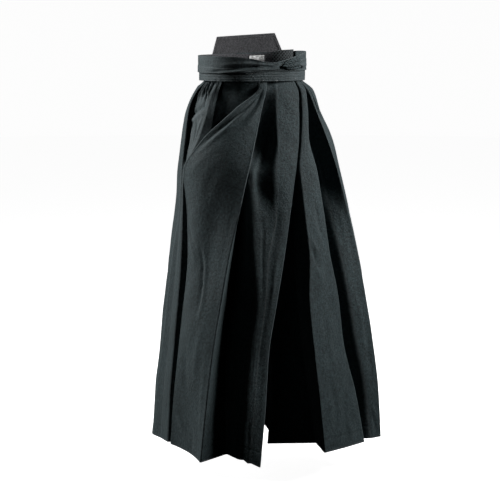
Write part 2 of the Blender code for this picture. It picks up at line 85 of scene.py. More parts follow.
RIGHT_INNER_PLEAT = (
    (.070, -.086), (.073, -.102), (.069, -.114), (.055, -.142), (.0375, -.162),
    (.014, -.180), (-.007, -.192), (-.029, -.200), (-.053, -.205), (-.067, -.215), (-.0857, -.226))
RIGHT_INNER_TUCK = (
    (.059, -.077), (.060, -.092), (.056, -.103), (.042, -.124), (.022, -.138),
    (.002, -.138), (-.012, -.135), (-.026, -.125), (-.045, -.120), (-.060, -.120), (-.074, -.125))
FRONT_SEAM = (
    (.066, -.074), (.066, -.086), (.062, -.097), (.049, -.117), (.031, -.130),
    (.016, -.122), (.009, -.098), (.009, -.092), (.009, -.090), (.006, -.096), (-.006, -.106))
PARTING_HEIGHTS = HEIGHTS[6:]   # below the crotch the inner edges part from the seams
RIGHT_FRONT_PARTING = ((0, 0), (-.026, .004), (-.044, .022), (-.053, .040), (-.049, .061))


def smooth_value(knots, values, at):
    """Read one number off a curve through the values that never overshoots them."""
    falling = knots[-1] < knots[0]
    place = [-k for k in knots] if falling else list(knots)
    at = -at if falling else at
    at = min(max(at, place[0]), place[-1])
    slopes = [(b - a) / (q - p) for a, b, p, q in zip(values, values[1:], place, place[1:])]
    tangents = [slopes[0]]
    for before, after in zip(slopes, slopes[1:]):
        tangents.append(2 * before * after / (before + after) if before * after > 0 else 0.0)
    tangents.append(slopes[-1])
    i = max(k for k in range(len(place) - 1) if place[k] <= at)
    span = place[i + 1] - place[i]
    t = (at - place[i]) / span
    return (values[i] * (1 + 2 * t) * (1 - t) ** 2 + values[i + 1] * t * t * (3 - 2 * t)
            + span * (tangents[i] * t * (1 - t) ** 2 - tangents[i + 1] * t * t * (1 - t)))


def smooth_step(value):
    value = np.clip(value, 0.0, 1.0)
    return value * value * (3 - 2 * value)


def bell(distance, width):
    """1 on the spot, and nearly nothing two widths away."""
    return np.exp(-(distance / width) ** 2)


def on_path(path, z, heights=HEIGHTS):
    """Where a fold stands at height z."""
    heights = heights[:len(path)]
    return tuple(smooth_value(heights, [point[axis] for point in path], z) for axis in (0, 1))


def parted(seam, parting, shift):
    """The inner edge of a panel: on its seam down to the crotch, then away from it."""
    def stand(z):
        x, y = on_path(seam, z)
        if z < CROTCH_HEIGHT:
            dx, dy = on_path(parting, z, PARTING_HEIGHTS)
            x, y = x + dx, y + dy
        return x + shift, y
    return stand


BOW_HEIGHTS = (-0.050, -0.240, -0.920)


class Fold:
    """A fold or edge of a panel, with the stretch of cloth that leads on from it."""
    def __init__(self, place, bow=(0, 0, 0), soft=0.0, lift=0.0, pitch=COLUMN_PITCH):
        # where it stands, (x, y), at a height: from a rule or a table
        self.stand = place if callable(place) else lambda z: on_path(place, z)
        self.bow = bow          # how far that stretch swells out at the waist, hip and hem
        self.soft = soft        # reach of a rounded corner; 0 is a pressed fold
        self.lift = lift        # how much higher than the hem the fold ends
        self.pitch = pitch      # column spacing of that stretch


def unit(dx, dy):
    length = (dx * dx + dy * dy) ** 0.5
    return dx / length, dy / length


TURN_STEPS = 6                  # pieces that the turn of a fold is cut into
TURN_TIP = 0.3                  # how far that turn swells out, as a share of its width
TURN_STATIONS = 0.04            # share of a station that the turn of a fold takes up
SOFT_LIMIT = 0.45               # a soft corner takes up no more than this of a stretch


def turned_fold(before, here, after, soft):
    """The points that carry the cloth round one fold, in the order of the section."""
    ux, uy = unit(before[0] - here[0], before[1] - here[1])
    wx, wy = unit(after[0] - here[0], after[1] - here[1])
    shares = [k / TURN_STEPS for k in range(TURN_STEPS + 1)]
    if soft:
        reach_u, reach_w = (
            min(soft, SOFT_LIMIT * ((end[0] - here[0]) ** 2 + (end[1] - here[1]) ** 2) ** 0.5)
            for end in (before, after))
        start = (here[0] + ux * reach_u, here[1] + uy * reach_u)
        end = (here[0] + wx * reach_w, here[1] + wy * reach_w)
        return [tuple(s * (1 - t) ** 2 + 2 * h * t * (1 - t) + e * t * t
                      for s, h, e in zip(start, here, end)) for t in shares]
    across = unit(ux - wx, uy - wy)
    sharp = 1 + ux * wx + uy * wy
    tip = TURN_TIP * FOLD_WIDTH * sharp / 2
    inward = unit(ux + wx, uy + wy) if sharp > 0.05 else (0, 0)
    half = FOLD_WIDTH / 2
    return [tuple(h + a * half * cos(pi * t) - i * tip * sin(pi * t)
                  for h, a, i in zip(here, across, inward)) for t in shares]


def section(folds, z, steps):
    """One row of a panel: its points, and the fold number that each point stands at."""
    stands = [fold.stand(z) for fold in folds]
    groups = [[stands[0]]]
    for i in range(1, len(folds) - 1):
        groups.append(turned_fold(stands[i - 1], stands[i], stands[i + 1], folds[i].soft))
    groups.append([stands[-1]])
    drop = max(0.0, z / HEM_HEIGHT) ** 4
    points, numbers = [], []
    for i, group in enumerate(groups):
        height = z + folds[i].lift * drop
        points += [(x, y, height) for x, y in group]
        numbers += [i + TURN_STATIONS * (k - (len(group) - 1) / 2) / TURN_STEPS
                    for k in range(len(group))]
        if i == len(groups) - 1:
            break
        (ax, ay), (bx, by) = group[-1], groups[i + 1][0]
        out = unit(by - ay, ax - bx)
        bow = smooth_value(BOW_HEIGHTS, folds[i].bow, z)
        next_height = z + folds[i + 1].lift * drop
        for step in range(1, steps[i]):
            t = step / steps[i]
            swell = 4 * t * (1 - t) * bow
            points.append((ax + (bx - ax) * t + out[0] * swell,
                           ay + (by - ay) * t + out[1] * swell,
                           height + (next_height - height) * t))
            numbers.append(i + TURN_STATIONS / 2 + (1 - TURN_STATIONS) * t)
    return points, numbers


def new_piece(name, points, faces, material):
    mesh = bpy.data.meshes.new(name)
    mesh.from_pydata(points, [], faces)
    mesh.materials.append(material)
    piece = bpy.data.objects.new(name, mesh)
    bpy.context.scene.collection.objects.link(piece)
    return piece


CALM_REACH = 0.012              # creases die down this near to a pressed fold,
CALM_LEAST = 0.35               # to this share of their height
TROUGH_PLACE = 1.7              # the hollow beside a ridge, in widths of the ridge
RIPPLE_WAVES = 9
SHARP_ANGLE = radians(48)       # edges keener than this are shaded as edges
ROUNDED_ANGLE = radians(60)     # and rims keener than this are rounded


def run_along(points):
    """How far along its row each point of a grid lies."""
    gaps = np.linalg.norm(np.diff(points, axis=1), axis=2)
    return np.concatenate([np.zeros((len(gaps), 1)), np.cumsum(gaps, axis=1)], axis=1)


class Cloth:
    """A sheet as a grid of points.  Its outer face is on the right of each row's path.  Every
    point has a station along its row and a level down the sheet, which creases are placed by."""
    def __init__(self, points, stations, levels):
        self.points = np.array(points, float)
        self.stations = np.array(stations, float)
        self.levels = np.array(levels, float)
        self.raised = np.zeros(self.points.shape[:2])
        # How pale each point is painted: real rubbing at hems and edges, and painted highlight on
        # pressed folds, hip gathers and tie creases.
        self.worn = np.zeros(self.points.shape[:2])
        along = np.gradient(self.points, axis=1)
        down = np.gradient(self.points, axis=0)
        normals = np.cross(down, along)
        self.normals = normals / np.maximum(np.linalg.norm(normals, axis=2, keepdims=True), 1e-9)

    def place(self, station, level):
        """The point of the sheet at a station and a level."""
        order = np.argsort(self.levels)
        row = np.interp(level, self.levels[order], order.astype(float))
        row = min(max(row, 0), len(self.levels) - 1)
        low = min(int(row), len(self.levels) - 2)
        ends = [np.array([np.interp(station, self.stations[r], self.points[r, :, axis])
                          for axis in range(3)]) for r in (low, low + 1)]
        return ends[0] + (ends[1] - ends[0]) * (row - low)

    def crease(self, path, depth, width, fade=(0.3, 0.3), reach=None, trough=0.0):
        """Raise a soft ridge (or press a furrow, if depth is negative) along a path of stations
        and levels.  fade is the share of its length over which each end dies away, reach gives
        the stations it stays between, and trough is how deep the hollow beside the ridge is."""
        knots = np.array([self.place(station, level) for station, level in path])
        spans = np.linalg.norm(np.diff(knots, axis=0), axis=1)
        marks = np.concatenate([[0], np.cumsum(spans)])
        stations = [station for station, level in path]
        low, high = reach or (np.floor(min(stations) + 1e-6), np.ceil(max(stations) - 1e-6))
        near = (self.stations >= low) & (self.stations <= high)
        spots, out = self.points[near], self.normals[near]
        best = np.full(len(spots), 9.0)
        side, share = np.zeros(len(spots)), np.zeros(len(spots))
        for a, b, mark, span in zip(knots, knots[1:], marks, spans):
            t = np.clip(((spots - a) @ (b - a)) / max(span * span, 1e-12), 0, 1)
            away = spots - (a + t[:, None] * (b - a))
            distance = np.linalg.norm(away, axis=1)
            closer = distance < best
            best = np.where(closer, distance, best)
            turn = np.einsum("ij,ij->i", np.cross(np.broadcast_to(b - a, out.shape), out), away)
            side = np.where(closer, np.sign(turn), side)
            share = np.where(closer, (mark + t * span) / marks[-1], share)
        signed = best * side
        shape = bell(signed, width)
        if trough:
            shape -= trough * bell(signed - TROUGH_PLACE * width, width)
        ends = np.ones(len(spots))
        if fade[0]:
            ends *= smooth_step(share / fade[0])
        if fade[1]:
            ends *= smooth_step((1 - share) / fade[1])
        self.raised[near] += depth * shape * ends

    def calm_folds(self):
        """Let the creases die down towards the pressed folds, where the layers lie close."""
        along = run_along(self.points)
        at_fold = np.abs(self.stations - np.round(self.stations)) < TURN_STATIONS * 0.75
        for row, spots in enumerate(along):
            away = np.min(np.abs(spots[:, None] - spots[at_fold[row]]), axis=1)
            self.raised[row] *= CALM_LEAST + (1 - CALM_LEAST) * smooth_step(away / CALM_REACH)

    def cut(self):
        """Widest row, longest column and area of the flat cloth."""
        rows = np.linalg.norm(np.diff(self.points, axis=1), axis=2)
        columns = np.linalg.norm(np.diff(self.points, axis=0), axis=2)
        area = float((0.25 * (rows[1:] + rows[:-1]) * (columns[:, 1:] + columns[:, :-1])).sum())
        return (float(rows.sum(axis=1).max()), float(columns.sum(axis=0).max())), area

    def make(self, name, thickness, material, hemmed=False, round_edges=0.0):
        """Turn the grid into a closed piece of cloth with UVs in metres of flat cloth."""
        points = self.points + self.normals * self.raised[:, :, None]
        rows, width = points.shape[:2]
        faces = [(r * width + c, (r + 1) * width + c, (r + 1) * width + c + 1, r * width + c + 1)
                 for r in range(rows - 1) for c in range(width - 1)]
        piece = new_piece(name, points.reshape(-1, 3).tolist(), faces, material)
        mesh = piece.data
        along = run_along(points)
        along -= along[:, width // 2:width // 2 + 1]
        depth = np.broadcast_to(self.levels[:, None], along.shape)
        flat = np.stack([along, depth], axis=2).reshape(-1, 2)
        corners = np.zeros(len(mesh.loops), int)
        mesh.loops.foreach_get("vertex_index", corners)
        mesh.uv_layers.new(name="flat cloth").data.foreach_set("uv", flat[corners].ravel())
        # The paleness goes on the mesh: real rubbing, and painted highlight on folds, gathers and
        # ties.
        wear_and_highlight = mesh.attributes.new("wear_and_highlight", "FLOAT", "POINT")
        wear_and_highlight.data.foreach_set("value", np.clip(self.worn, 0, 1).ravel())
        shell = piece.modifiers.new("thickness", "SOLIDIFY")
        shell.thickness = thickness
        shell.offset = -1
        if hemmed:
            hem = piece.vertex_groups.new(name="hem")
            for r, level in enumerate(self.levels):
                weight = 1.0 if level <= HEM_LINE else thickness / HEM_CLOTH
                hem.add(list(range(r * width, (r + 1) * width)), weight, "REPLACE")
            shell.thickness = HEM_CLOTH
            shell.vertex_group = "hem"
        if round_edges:
            edge = piece.modifiers.new("rounded edges", "BEVEL")
            edge.width = round_edges
            edge.segments = 3
            edge.limit_method = "ANGLE"
            edge.angle_limit = ROUNDED_ANGLE
        finished = piece.evaluated_get(bpy.context.evaluated_depsgraph_get())
        solid = bpy.data.meshes.new_from_object(finished)
        piece.modifiers.clear()
        piece.data = solid
        solid.name = name
        solid.shade_smooth()
        solid.set_sharp_from_angle(angle=SHARP_ANGLE)
        return piece


FURROW_ROWS = (-.0022, -.0008, .0008, .0022)    # rows that carry the furrow of the hem's stitches
FURROW_CLEARANCE = 0.003        # and how far the other rows keep from that line
FOLD_RUB_AND_HIGHLIGHT = 0.75                 # paleness of a pressed fold itself: partly rubbed dye, partly painted highlight


def leg_panel(folds, top=HEIGHTS[0]):
    """A panel from the waist or the crotch to the hem, row by row."""
    widest = [0.0] * (len(folds) - 1)
    for z in HEIGHTS:
        stands = [fold.stand(z) for fold in folds]
        for i, ((ax, ay), (bx, by)) in enumerate(zip(stands, stands[1:])):
            widest[i] = max(widest[i], ((ax - bx) ** 2 + (ay - by) ** 2) ** 0.5)
    steps = [max(2, round(width / fold.pitch)) for width, fold in zip(widest, folds)]
    count = round((top - HEM_HEIGHT) / ROW_PITCH)
    levels = [top + (HEM_HEIGHT - top) * i / count for i in range(count + 1)]
    levels = [z for z in levels if abs(z - HEM_LINE) > FURROW_CLEARANCE]
    levels = sorted(levels + [HEM_LINE + away for away in FURROW_ROWS], reverse=True)
    rows, numbers = [], []
    for z in levels:
        points, places = section(folds, z, steps)
        rows.append(points)
        numbers.append(places)
    if top == HEIGHTS[0]:
        for z in ((top + PLEAT_TOP) / 2, PLEAT_TOP):
            rows.insert(0, [(x, y, z) for x, y, height in rows[0]])
            numbers.insert(0, numbers[0])
            levels.insert(0, z)
    sheet = Cloth(rows, numbers, levels)
    # Pressed folds are painted paler: a thin painted highlight along each edge as well as rubbing.
    # The hem is rubbed.
    turned = np.abs(sheet.stations - np.round(sheet.stations))
    sheet.worn = np.clip(FOLD_RUB_AND_HIGHLIGHT - turned / FOLD_PALE_REACH, 0, 1)
    near_hem = np.clip(1 - np.abs(sheet.levels - HEM_HEIGHT) / HEM_WEAR, 0, 1)
    sheet.worn = np.maximum(sheet.worn, near_hem[:, None])
    return sheet


def ripple(sheet, height, seed):
    """Faint unevenness of cotton that has been folded away and worn: a few slow waves."""
    random = np.random.default_rng(seed)
    x, y, z = (sheet.points[:, :, axis] for axis in range(3))
    for _ in range(RIPPLE_WAVES):
        direction = random.uniform(-0.5, 0.5)
        length = random.uniform(0.035, 0.12)
        phase = random.uniform(0, 2 * pi)
        wave = np.sin((x * cos(direction) + y + z * sin(direction)) * 2 * pi / length + phase)
        slow = np.sin(z * 2 * pi / random.uniform(0.11, 0.3) + random.uniform(0, 2 * pi))
        sheet.raised += height * wave * slow / 3
    sheet.calm_folds()


class Finish:
    """A material, made up of nodes round one shader."""
    def __init__(self, name, inputs):
        self.material = bpy.data.materials.new(name)
        self.material.use_nodes = True
        self.shader = self.material.node_tree.nodes["Principled BSDF"]
        self.feed(self.shader, inputs)

    def feed(self, node, inputs):
        """Set each socket to a number or colour, or link it to another node's output."""
        for socket, given in inputs.items():
            if isinstance(given, bpy.types.NodeSocket):
                self.material.node_tree.links.new(given, node.inputs[socket])
            else:
                node.inputs[socket].default_value = given

    def node(self, kind, inputs=None, **settings):
        """Add a node, and return its outputs."""
        node = self.material.node_tree.nodes.new("ShaderNode" + kind)
        for key, value in settings.items():
            setattr(node, key, value)
        self.feed(node, inputs or {})
        return node.outputs

    def waves(self, vector, direction, scale, **inputs):
        """Straight bands, for ribs and threads."""
        return self.node("TexWave", {"Vector": vector, "Scale": scale, **inputs},
                         wave_type="BANDS", bands_direction=direction)

    def colours(self, share, low, high):
        """A colour between two (place, colour) marks."""
        ramp = self.node("ValToRGB", {"Fac": share})["Color"]
        for element, (place, colour) in zip(ramp.node.color_ramp.elements, (low, high)):
            element.position = place
            element.color = (*colour, 1)
        return ramp

    def mix(self, share, first, second, **settings):
        """Two colours laid over each other."""
        return self.node("Mix", {"Factor": share, 6: first, 7: second},
                         data_type="RGBA", **settings)[2]


PALER = 2.3                     # how much paler rubbed and painted-highlit threads are, unless a colour is given


def twill(name, dark, light, rib=0.0011, sheen=0.22, roughness=0.72, worn=None):
    """Cotton twill: fine diagonal ribs over crossing threads, slubs, a dye that took a little
    unevenly, and paler threads where the cloth is marked: real rubbing at hems and edges, and
    painted highlight along pressed folds and on raised gathers and tie creases."""
    cloth = Finish(name, {"Metallic": 0, "Specular IOR Level": 0.28, "Sheen Weight": sheen,
                          "Sheen Roughness": 0.45, "Sheen Tint": (0.62, 0.74, 0.76, 1)})
    flat = cloth.node("UVMap", uv_map="flat cloth")["UV"]
    place = cloth.node("TexCoord")["Object"]

    ribs = cloth.waves(flat, "DIAGONAL", 2 * pi / (10 * rib * 0.72),
                       **{"Distortion": 0.6, "Detail Scale": 2.0})
    threads = cloth.waves(flat, "X", 2 * pi / (10 * rib * 0.5))
    drawn_out = cloth.node("Mapping", {"Vector": flat, "Scale": (900, 70, 1)})["Vector"]
    slubs = cloth.node("TexNoise", {"Vector": drawn_out, "Scale": 1.0, "Detail": 3.0})["Fac"]
    weave = cloth.node("Math", {0: threads["Fac"], 1: 0.35, 2: ribs["Fac"]},
                       operation="MULTIPLY_ADD")["Value"]
    yarns = cloth.node("Math", {0: slubs, 1: 0.9, 2: weave}, operation="MULTIPLY_ADD")["Value"]
    crinkles = cloth.node("TexNoise", {"Vector": place, "Scale": 175.0, "Detail": 3.0,
                                       "Roughness": 0.6})["Fac"]
    crumpled = cloth.node("Bump", {"Height": crinkles, "Strength": 0.6, "Distance": 0.0022})
    woven = cloth.node("Bump", {"Height": yarns, "Strength": 0.5, "Distance": 0.00022,
                                "Normal": crumpled["Normal"]})

    patches = cloth.node("TexNoise", {"Vector": place, "Scale": 14.0, "Detail": 6.0,
                                      "Roughness": 0.65})["Fac"]
    dye = cloth.colours(patches, (0.32, dark), (0.72, light))
    mottle = cloth.node("MapRange", {"Value": crinkles, "From Min": 0.3, "From Max": 0.7,
                                     "To Min": 0.5, "To Max": 1.5})["Result"]
    mottled = cloth.mix(1.0, dye, mottle, blend_type="MULTIPLY")
    grain = cloth.mix(0.35, mottled, ribs["Color"], blend_type="MULTIPLY")
    # Threads marked pale are mixed towards the pale colour: partly real rubbing, partly painted
    # highlight.
    wear_and_highlight = cloth.node("Attribute", attribute_name="wear_and_highlight")["Fac"]
    rubbed_and_highlit_share = cloth.node("Math", {0: wear_and_highlight, 1: slubs}, operation="MULTIPLY")["Value"]
    rubbed_and_highlit = cloth.mix(rubbed_and_highlit_share, grain, (*(worn or [PALER * c for c in light]), 1))
    rough = cloth.node("MapRange", {"Value": patches, "To Min": roughness - 0.08,
                                    "To Max": roughness + 0.10})["Result"]
    cloth.feed(cloth.shader, {"Normal": woven["Normal"], "Base Color": rubbed_and_highlit, "Roughness": rough})
    return cloth.material


DYE_DARK = (0.0205, 0.034, 0.0372)
DYE_LIGHT = (0.0325, 0.051, 0.0555)
# The pale colour of rubbed threads, also used for painted highlights on folds, gathers and ties.
DYE_FADED_AND_HIGHLIT = (0.098, 0.116, 0.122)
black_twill = twill("black cotton twill", DYE_DARK, DYE_LIGHT, worn=DYE_FADED_AND_HIGHLIT)
HEM_FURROW_DEPTH = 0.0005
HEM_FURROW_WIDTH = 0.0012


def fit(piece, node, sheet=None):
    """Put a piece in the frame in place of its node, and measure its sheet flat."""
    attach(piece, "root")
    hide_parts(node)
    if sheet:
        flat, area = sheet.cut()


def sew_panel(sheet, name, node):
    """Finish a panel of a leg: the furrow of its hem's stitches, its thickness, its place."""
    sheet.raised -= HEM_FURROW_DEPTH * bell(sheet.levels[:, None] - HEM_LINE, HEM_FURROW_WIDTH)
    fit(sheet.make(name, CLOTH, black_twill, hemmed=True), node, sheet)


right_front = leg_panel([
    Fold(RIGHT_SIDE_HEM, lift=SIDE_LIFT),
    Fold(RIGHT_SIDE_FOLD, bow=(.001, .024, -.010), lift=SIDE_LIFT),
    Fold(RIGHT_OUTER_PLEAT),
    Fold(RIGHT_OUTER_TUCK),
    Fold(RIGHT_SOFT_FOLD, soft=.012, lift=.002),
    Fold(RIGHT_MIDDLE_CREASE, bow=(.002, .002, 0), soft=.004, lift=-.006),
    Fold(RIGHT_INNER_PLEAT, lift=-.016),
    Fold(RIGHT_INNER_TUCK, lift=-.006),
    Fold(parted(FRONT_SEAM, RIGHT_FRONT_PARTING, -SEAM_GAP / 2))])
# Each crease: path of (station, height), depth, width, the shares over which its ends fade, and
# where they are needed its reach and its trough.
RIGHT_FRONT_CREASES = (
    (((1.42, -.056), (1.34, -.088), (1.18, -.128), (1.09, -.168), (1.05, -.205)),
     -.0052, .005, .12, .35),
    (((1.52, -.064), (1.42, -.098), (1.27, -.14), (1.16, -.178), (1.1, -.21)),
     .003, .0052, .15, .4),
    (((1.82, -.046), (1.7, -.08), (1.5, -.112), (1.36, -.136)), -.006, .0095, .15, .45),
    (((1.93, -.05), (1.86, -.08), (1.76, -.112), (1.62, -.15)), .002, .005, .05, .6),
    (((1.4, -.176), (1.22, -.222), (1.15, -.262)), .0012, .008, .4, .5),
    (((1.62, -.2), (1.48, -.262), (1.42, -.33)), -.0012, .012, .4, .45),
    (((1.66, -.2), (1.6, -.42), (1.54, -.64)), -.015, .045, .45, .45),
    (((1.3, -.385), (1.44, -.452), (1.5, -.52), (1.47, -.592)), -.003, .0042, .35, .3),
    (((1.38, -.4), (1.52, -.47), (1.58, -.545), (1.54, -.62)), .0022, .0065, .35, .4),
    (((1.05, -.372), (1.16, -.405), (1.3, -.425)), -.0026, .005, .1, .55),
    (((1.08, -.395), (1.2, -.43), (1.26, -.47)), .0018, .006, .2, .5),
    (((1.72, -.56), (1.6, -.66), (1.56, -.77)), .0016, .009, .4, .4),
    (((1.24, -.64), (1.3, -.73), (1.42, -.8)), -.0018, .01, .45, .4),
    (((1.86, -.64), (1.84, -.76), (1.86, -.88)), .0012, .005, .3, .2),
    (((1.1, -.83), (1.28, -.862), (1.46, -.874)), .002, .007, .35, .45),
    (((1.66, -.85), (1.6, -.89), (1.62, -.918)), -.0014, .006, .5, .1),
    (((4.1, -.13), (4.14, -.2), (4.28, -.262), (4.72, -.352)), -.015, .026, .15, .35),
    (((4.62, -.095), (4.6, -.16), (4.66, -.225)), -.001, .003, .3, .4),
    (((4.25, -.33), (4.45, -.38), (4.6, -.47), (4.66, -.56)), -.0013, .005, .25, .3),
    (((4.55, -.345), (4.74, -.43), (4.8, -.52)), .0006, .0035, .3, .4),
    (((5.2, -.352), (5.12, -.43), (5.2, -.52), (5.16, -.61)), -.0016, .0032, .25, .35),
    (((5.52, -.4), (5.46, -.48), (5.5, -.575)), .001, .004, .35, .35),
    (((4.4, -.59), (4.6, -.69), (4.5, -.79)), .0018, .007, .35, .35),
    (((5.4, -.64), (5.3, -.74), (5.42, -.85)), -.0012, .006, .4, .3),
    (((4.3, -.82), (4.55, -.87), (4.9, -.905)), -.0014, .006, .4, .4),
    (((5.34, -.04), (5.33, -.12), (5.34, -.2), (5.3, -.3)), -.0008, .0018, .1, .45),
    (((5.58, -.04), (5.56, -.11), (5.58, -.18)), -.0006, .0016, .1, .5),
    (((5.8, -.06), (5.7, -.12), (5.76, -.17)), .0008, .004, .3, .4))


def press_creases(sheet, table):
    """Raise and furrow a sheet along every row of a table of creases."""
    for path, depth, width, start, end, *more in table:
        sheet.crease(path, depth, width, (start, end), *more)


FRONT_RIPPLE = 0.0006
press_creases(right_front, RIGHT_FRONT_CREASES)
ripple(right_front, FRONT_RIPPLE, 1)
sew_panel(right_front, "leg_front_right", "front_right")

# ---- Front of the left leg ---------------------------------------------------
# The mirror width, but its pleats lap the other way towards the middle, so the outermost one
# turns its face forward.  It is cut, pressed and hemmed like the right one.
LEFT_INNER_TUCK = (
    (.074, -.078), (.075, -.091), (.073, -.103), (.058, -.128), (.041, -.145),
    (.042, -.148), (.048, -.140), (.056, -.136), (.069, -.137), (.085, -.144), (.102, -.152))
LEFT_INNER_PLEAT = (
    (.080, -.081), (.084, -.100), (.082, -.112), (.066, -.140), (.047, -.168),
    (.050, -.188), (.056, -.202), (.050, -.214), (.058, -.224), (.072, -.230), (.086, -.232))
LEFT_MIDDLE_CREASE = (
    (.090, -.075), (.097, -.097), (.096, -.109), (.087, -.136), (.096, -.160),
    (.109, -.173), (.121, -.182), (.141, -.188), (.155, -.193), (.189, -.196), (.218, -.192))
LEFT_OUTER_TUCK = (
    (.085, -.066), (.090, -.077), (.088, -.078), (.086, -.080), (.096, -.080),
    (.110, -.080), (.122, -.100), (.134, -.113), (.155, -.122), (.195, -.142), (.221, -.162))
LEFT_OUTER_PLEAT = (
    (.094, -.068), (.101, -.073), (.105, -.075), (.117, -.072), (.142, -.087),
    (.153, -.118), (.168, -.146), (.184, -.161), (.202, -.170), (.229, -.173), (.246, -.174))
LEFT_SIDE_CORNER = (
    (.101, -.065), (.112, -.084), (.123, -.098), (.151, -.114), (.170, -.128),
    (.197, -.135), (.220, -.143), (.236, -.155), (.255, -.163), (.272, -.168), (.281, -.169))
LEFT_SIDE_FOLD = (
    (.107, -.058), (.120, -.078), (.134, -.088), (.180, -.064), (.203, -.042),
    (.220, -.048), (.237, -.056), (.251, -.061), (.266, -.061), (.279, -.058), (.286, -.052))
LEFT_SIDE_HEM = (
    (.100, -.053), (.113, -.071), (.127, -.081), (.172, -.062), (.192, -.036),
    (.200, -.040), (.217, -.047), (.231, -.051), (.246, -.051), (.261, -.048), (.270, -.043))
LEFT_FRONT_PARTING = ((0, 0), (.002, 0), (.001, -.001), (-.001, -.001), (-.002, 0))

left_front = leg_panel([
    Fold(parted(FRONT_SEAM, LEFT_FRONT_PARTING, SEAM_GAP / 2)),
    Fold(LEFT_INNER_TUCK),
    Fold(LEFT_INNER_PLEAT, bow=(0, .002, .002)),
    Fold(LEFT_MIDDLE_CREASE),
    Fold(LEFT_OUTER_TUCK),
    Fold(LEFT_OUTER_PLEAT, soft=.010),
    Fold(LEFT_SIDE_CORNER, bow=(.001, .010, .004), soft=.005),
    Fold(LEFT_SIDE_FOLD, lift=SIDE_LIFT),
    Fold(LEFT_SIDE_HEM, lift=SIDE_LIFT)])
LEFT_FRONT_CREASES = (
    (((2.1, -.395), (2.32, -.425), (2.52, -.44)), .0022, .005, .3, .45),
    (((2.08, -.42), (2.26, -.452), (2.5, -.47)), -.0024, .0045, .2, .45),
    (((2.2, -.47), (2.44, -.492), (2.66, -.5)), .0014, .0055, .35, .45),
    (((2.55, -.3), (2.62, -.38), (2.84, -.43)), -.0018, .006, .4, .45),
    (((2.35, -.07), (2.42, -.16), (2.36, -.24)), -.0008, .003, .2, .5),
    (((2.62, -.56), (2.5, -.66), (2.58, -.76)), .0014, .009, .4, .4),
    (((2.3, -.7), (2.38, -.8), (2.3, -.89)), -.0014, .007, .4, .3),
    (((2.76, -.79), (2.64, -.85), (2.7, -.91)), .0012, .0055, .4, .3),
    (((5.3, -.33), (5.5, -.385), (5.52, -.44)), .0012, .009, .3, .45),
    (((5.6, -.36), (5.72, -.43), (5.66, -.52)), -.0012, .008, .35, .4),
    (((5.24, -.52), (5.4, -.62), (5.34, -.72)), .0016, .008, .4, .4),
    (((5.7, -.6), (5.56, -.7), (5.62, -.8)), -.0014, .007, .4, .4),
    (((5.18, -.835), (5.5, -.862), (5.9, -.868)), .0022, .005, .25, .45),
    (((5.12, -.862), (5.4, -.892), (5.86, -.902)), -.002, .0045, .25, .4),
    (((6.3, -.3), (6.24, -.38), (6.34, -.46)), -.0012, .01, .35, .45),
    (((6.72, -.24), (6.6, -.33), (6.7, -.44)), .0012, .0085, .35, .4),
    (((6.24, -.42), (6.4, -.52), (6.34, -.64)), .0018, .01, .4, .4),
    (((6.58, -.52), (6.5, -.64), (6.62, -.76)), -.002, .009, .4, .4),
    (((6.3, -.72), (6.36, -.82), (6.28, -.9)), .0016, .008, .4, .2),
    (((6.8, -.7), (6.7, -.8), (6.78, -.89)), .0012, .006, .4, .2))
press_creases(left_front, LEFT_FRONT_CREASES)
ripple(left_front, FRONT_RIPPLE, 2)
sew_panel(left_front, "leg_front_left", "front_left")

# ---- Back of the left leg ----------------------------------------------------
# One width of the same twill, with a single deep pleat each side of the centre back and the
# side gathered into the band.  Its side edge runs on forwards, inside the side opening.
LEFT_SLIT_EDGE = (
    (.092, -.046), (.104, -.062), (.119, -.074), (.155, -.074), (.192, -.030))
LEFT_SIDE_PLEAT = (
    (.118, -.036), (.142, -.048), (.156, -.052), (.184, -.036), (.202, -.024),
    (.219, -.027), (.236, -.032), (.251, -.036), (.268, -.036), (.280, -.034), (.286, -.030))
LEFT_SIDE_LINE = (
    (.123, .004), (.146, .007), (.166, .007), (.186, .003), (.200, .005),
    (.218, .005), (.237, .008), (.250, .011), (.264, .016), (.275, .029), (.281, .042))
LEFT_BACK_CORNER = (
    (.084, .077), (.096, .084), (.115, .087), (.134, .090), (.146, .094),
    (.160, .097), (.176, .100), (.190, .103), (.207, .109), (.223, .114), (.236, .120))
LEFT_BACK_PLEAT = (
    (.009, .091), (.009, .104), (.009, .110), (.010, .116), (.012, .120),
    (.014, .124), (.016, .126), (.025, .129), (.036, .132), (.050, .134), (.062, .136))
LEFT_BACK_TUCK = (
    (.034, .080), (.036, .092), (.038, .098), (.040, .102), (.040, .104),
    (.043, .104), (.048, .103), (.058, .101), (.071, .099), (.087, .097), (.100, .096))
BACK_SEAM = (
    (.000, .088), (.000, .091), (.000, .093), (.000, .098), (.000, .099),
    (.000, .097), (.000, .090), (.000, .085), (.000, .080), (.000, .077), (.000, .074))
LEFT_BACK_PARTING = ((0, 0), (.020, 0), (.036, 0), (.050, 0), (.062, .001))


def behind(upper, seam):
    """The front edge of a back panel: its own above the side seam, then along that seam."""
    path = upper + tuple((x, y - 2 * SEAM_GAP) for x, y in seam[len(upper):])
    return lambda z: on_path(path, z)


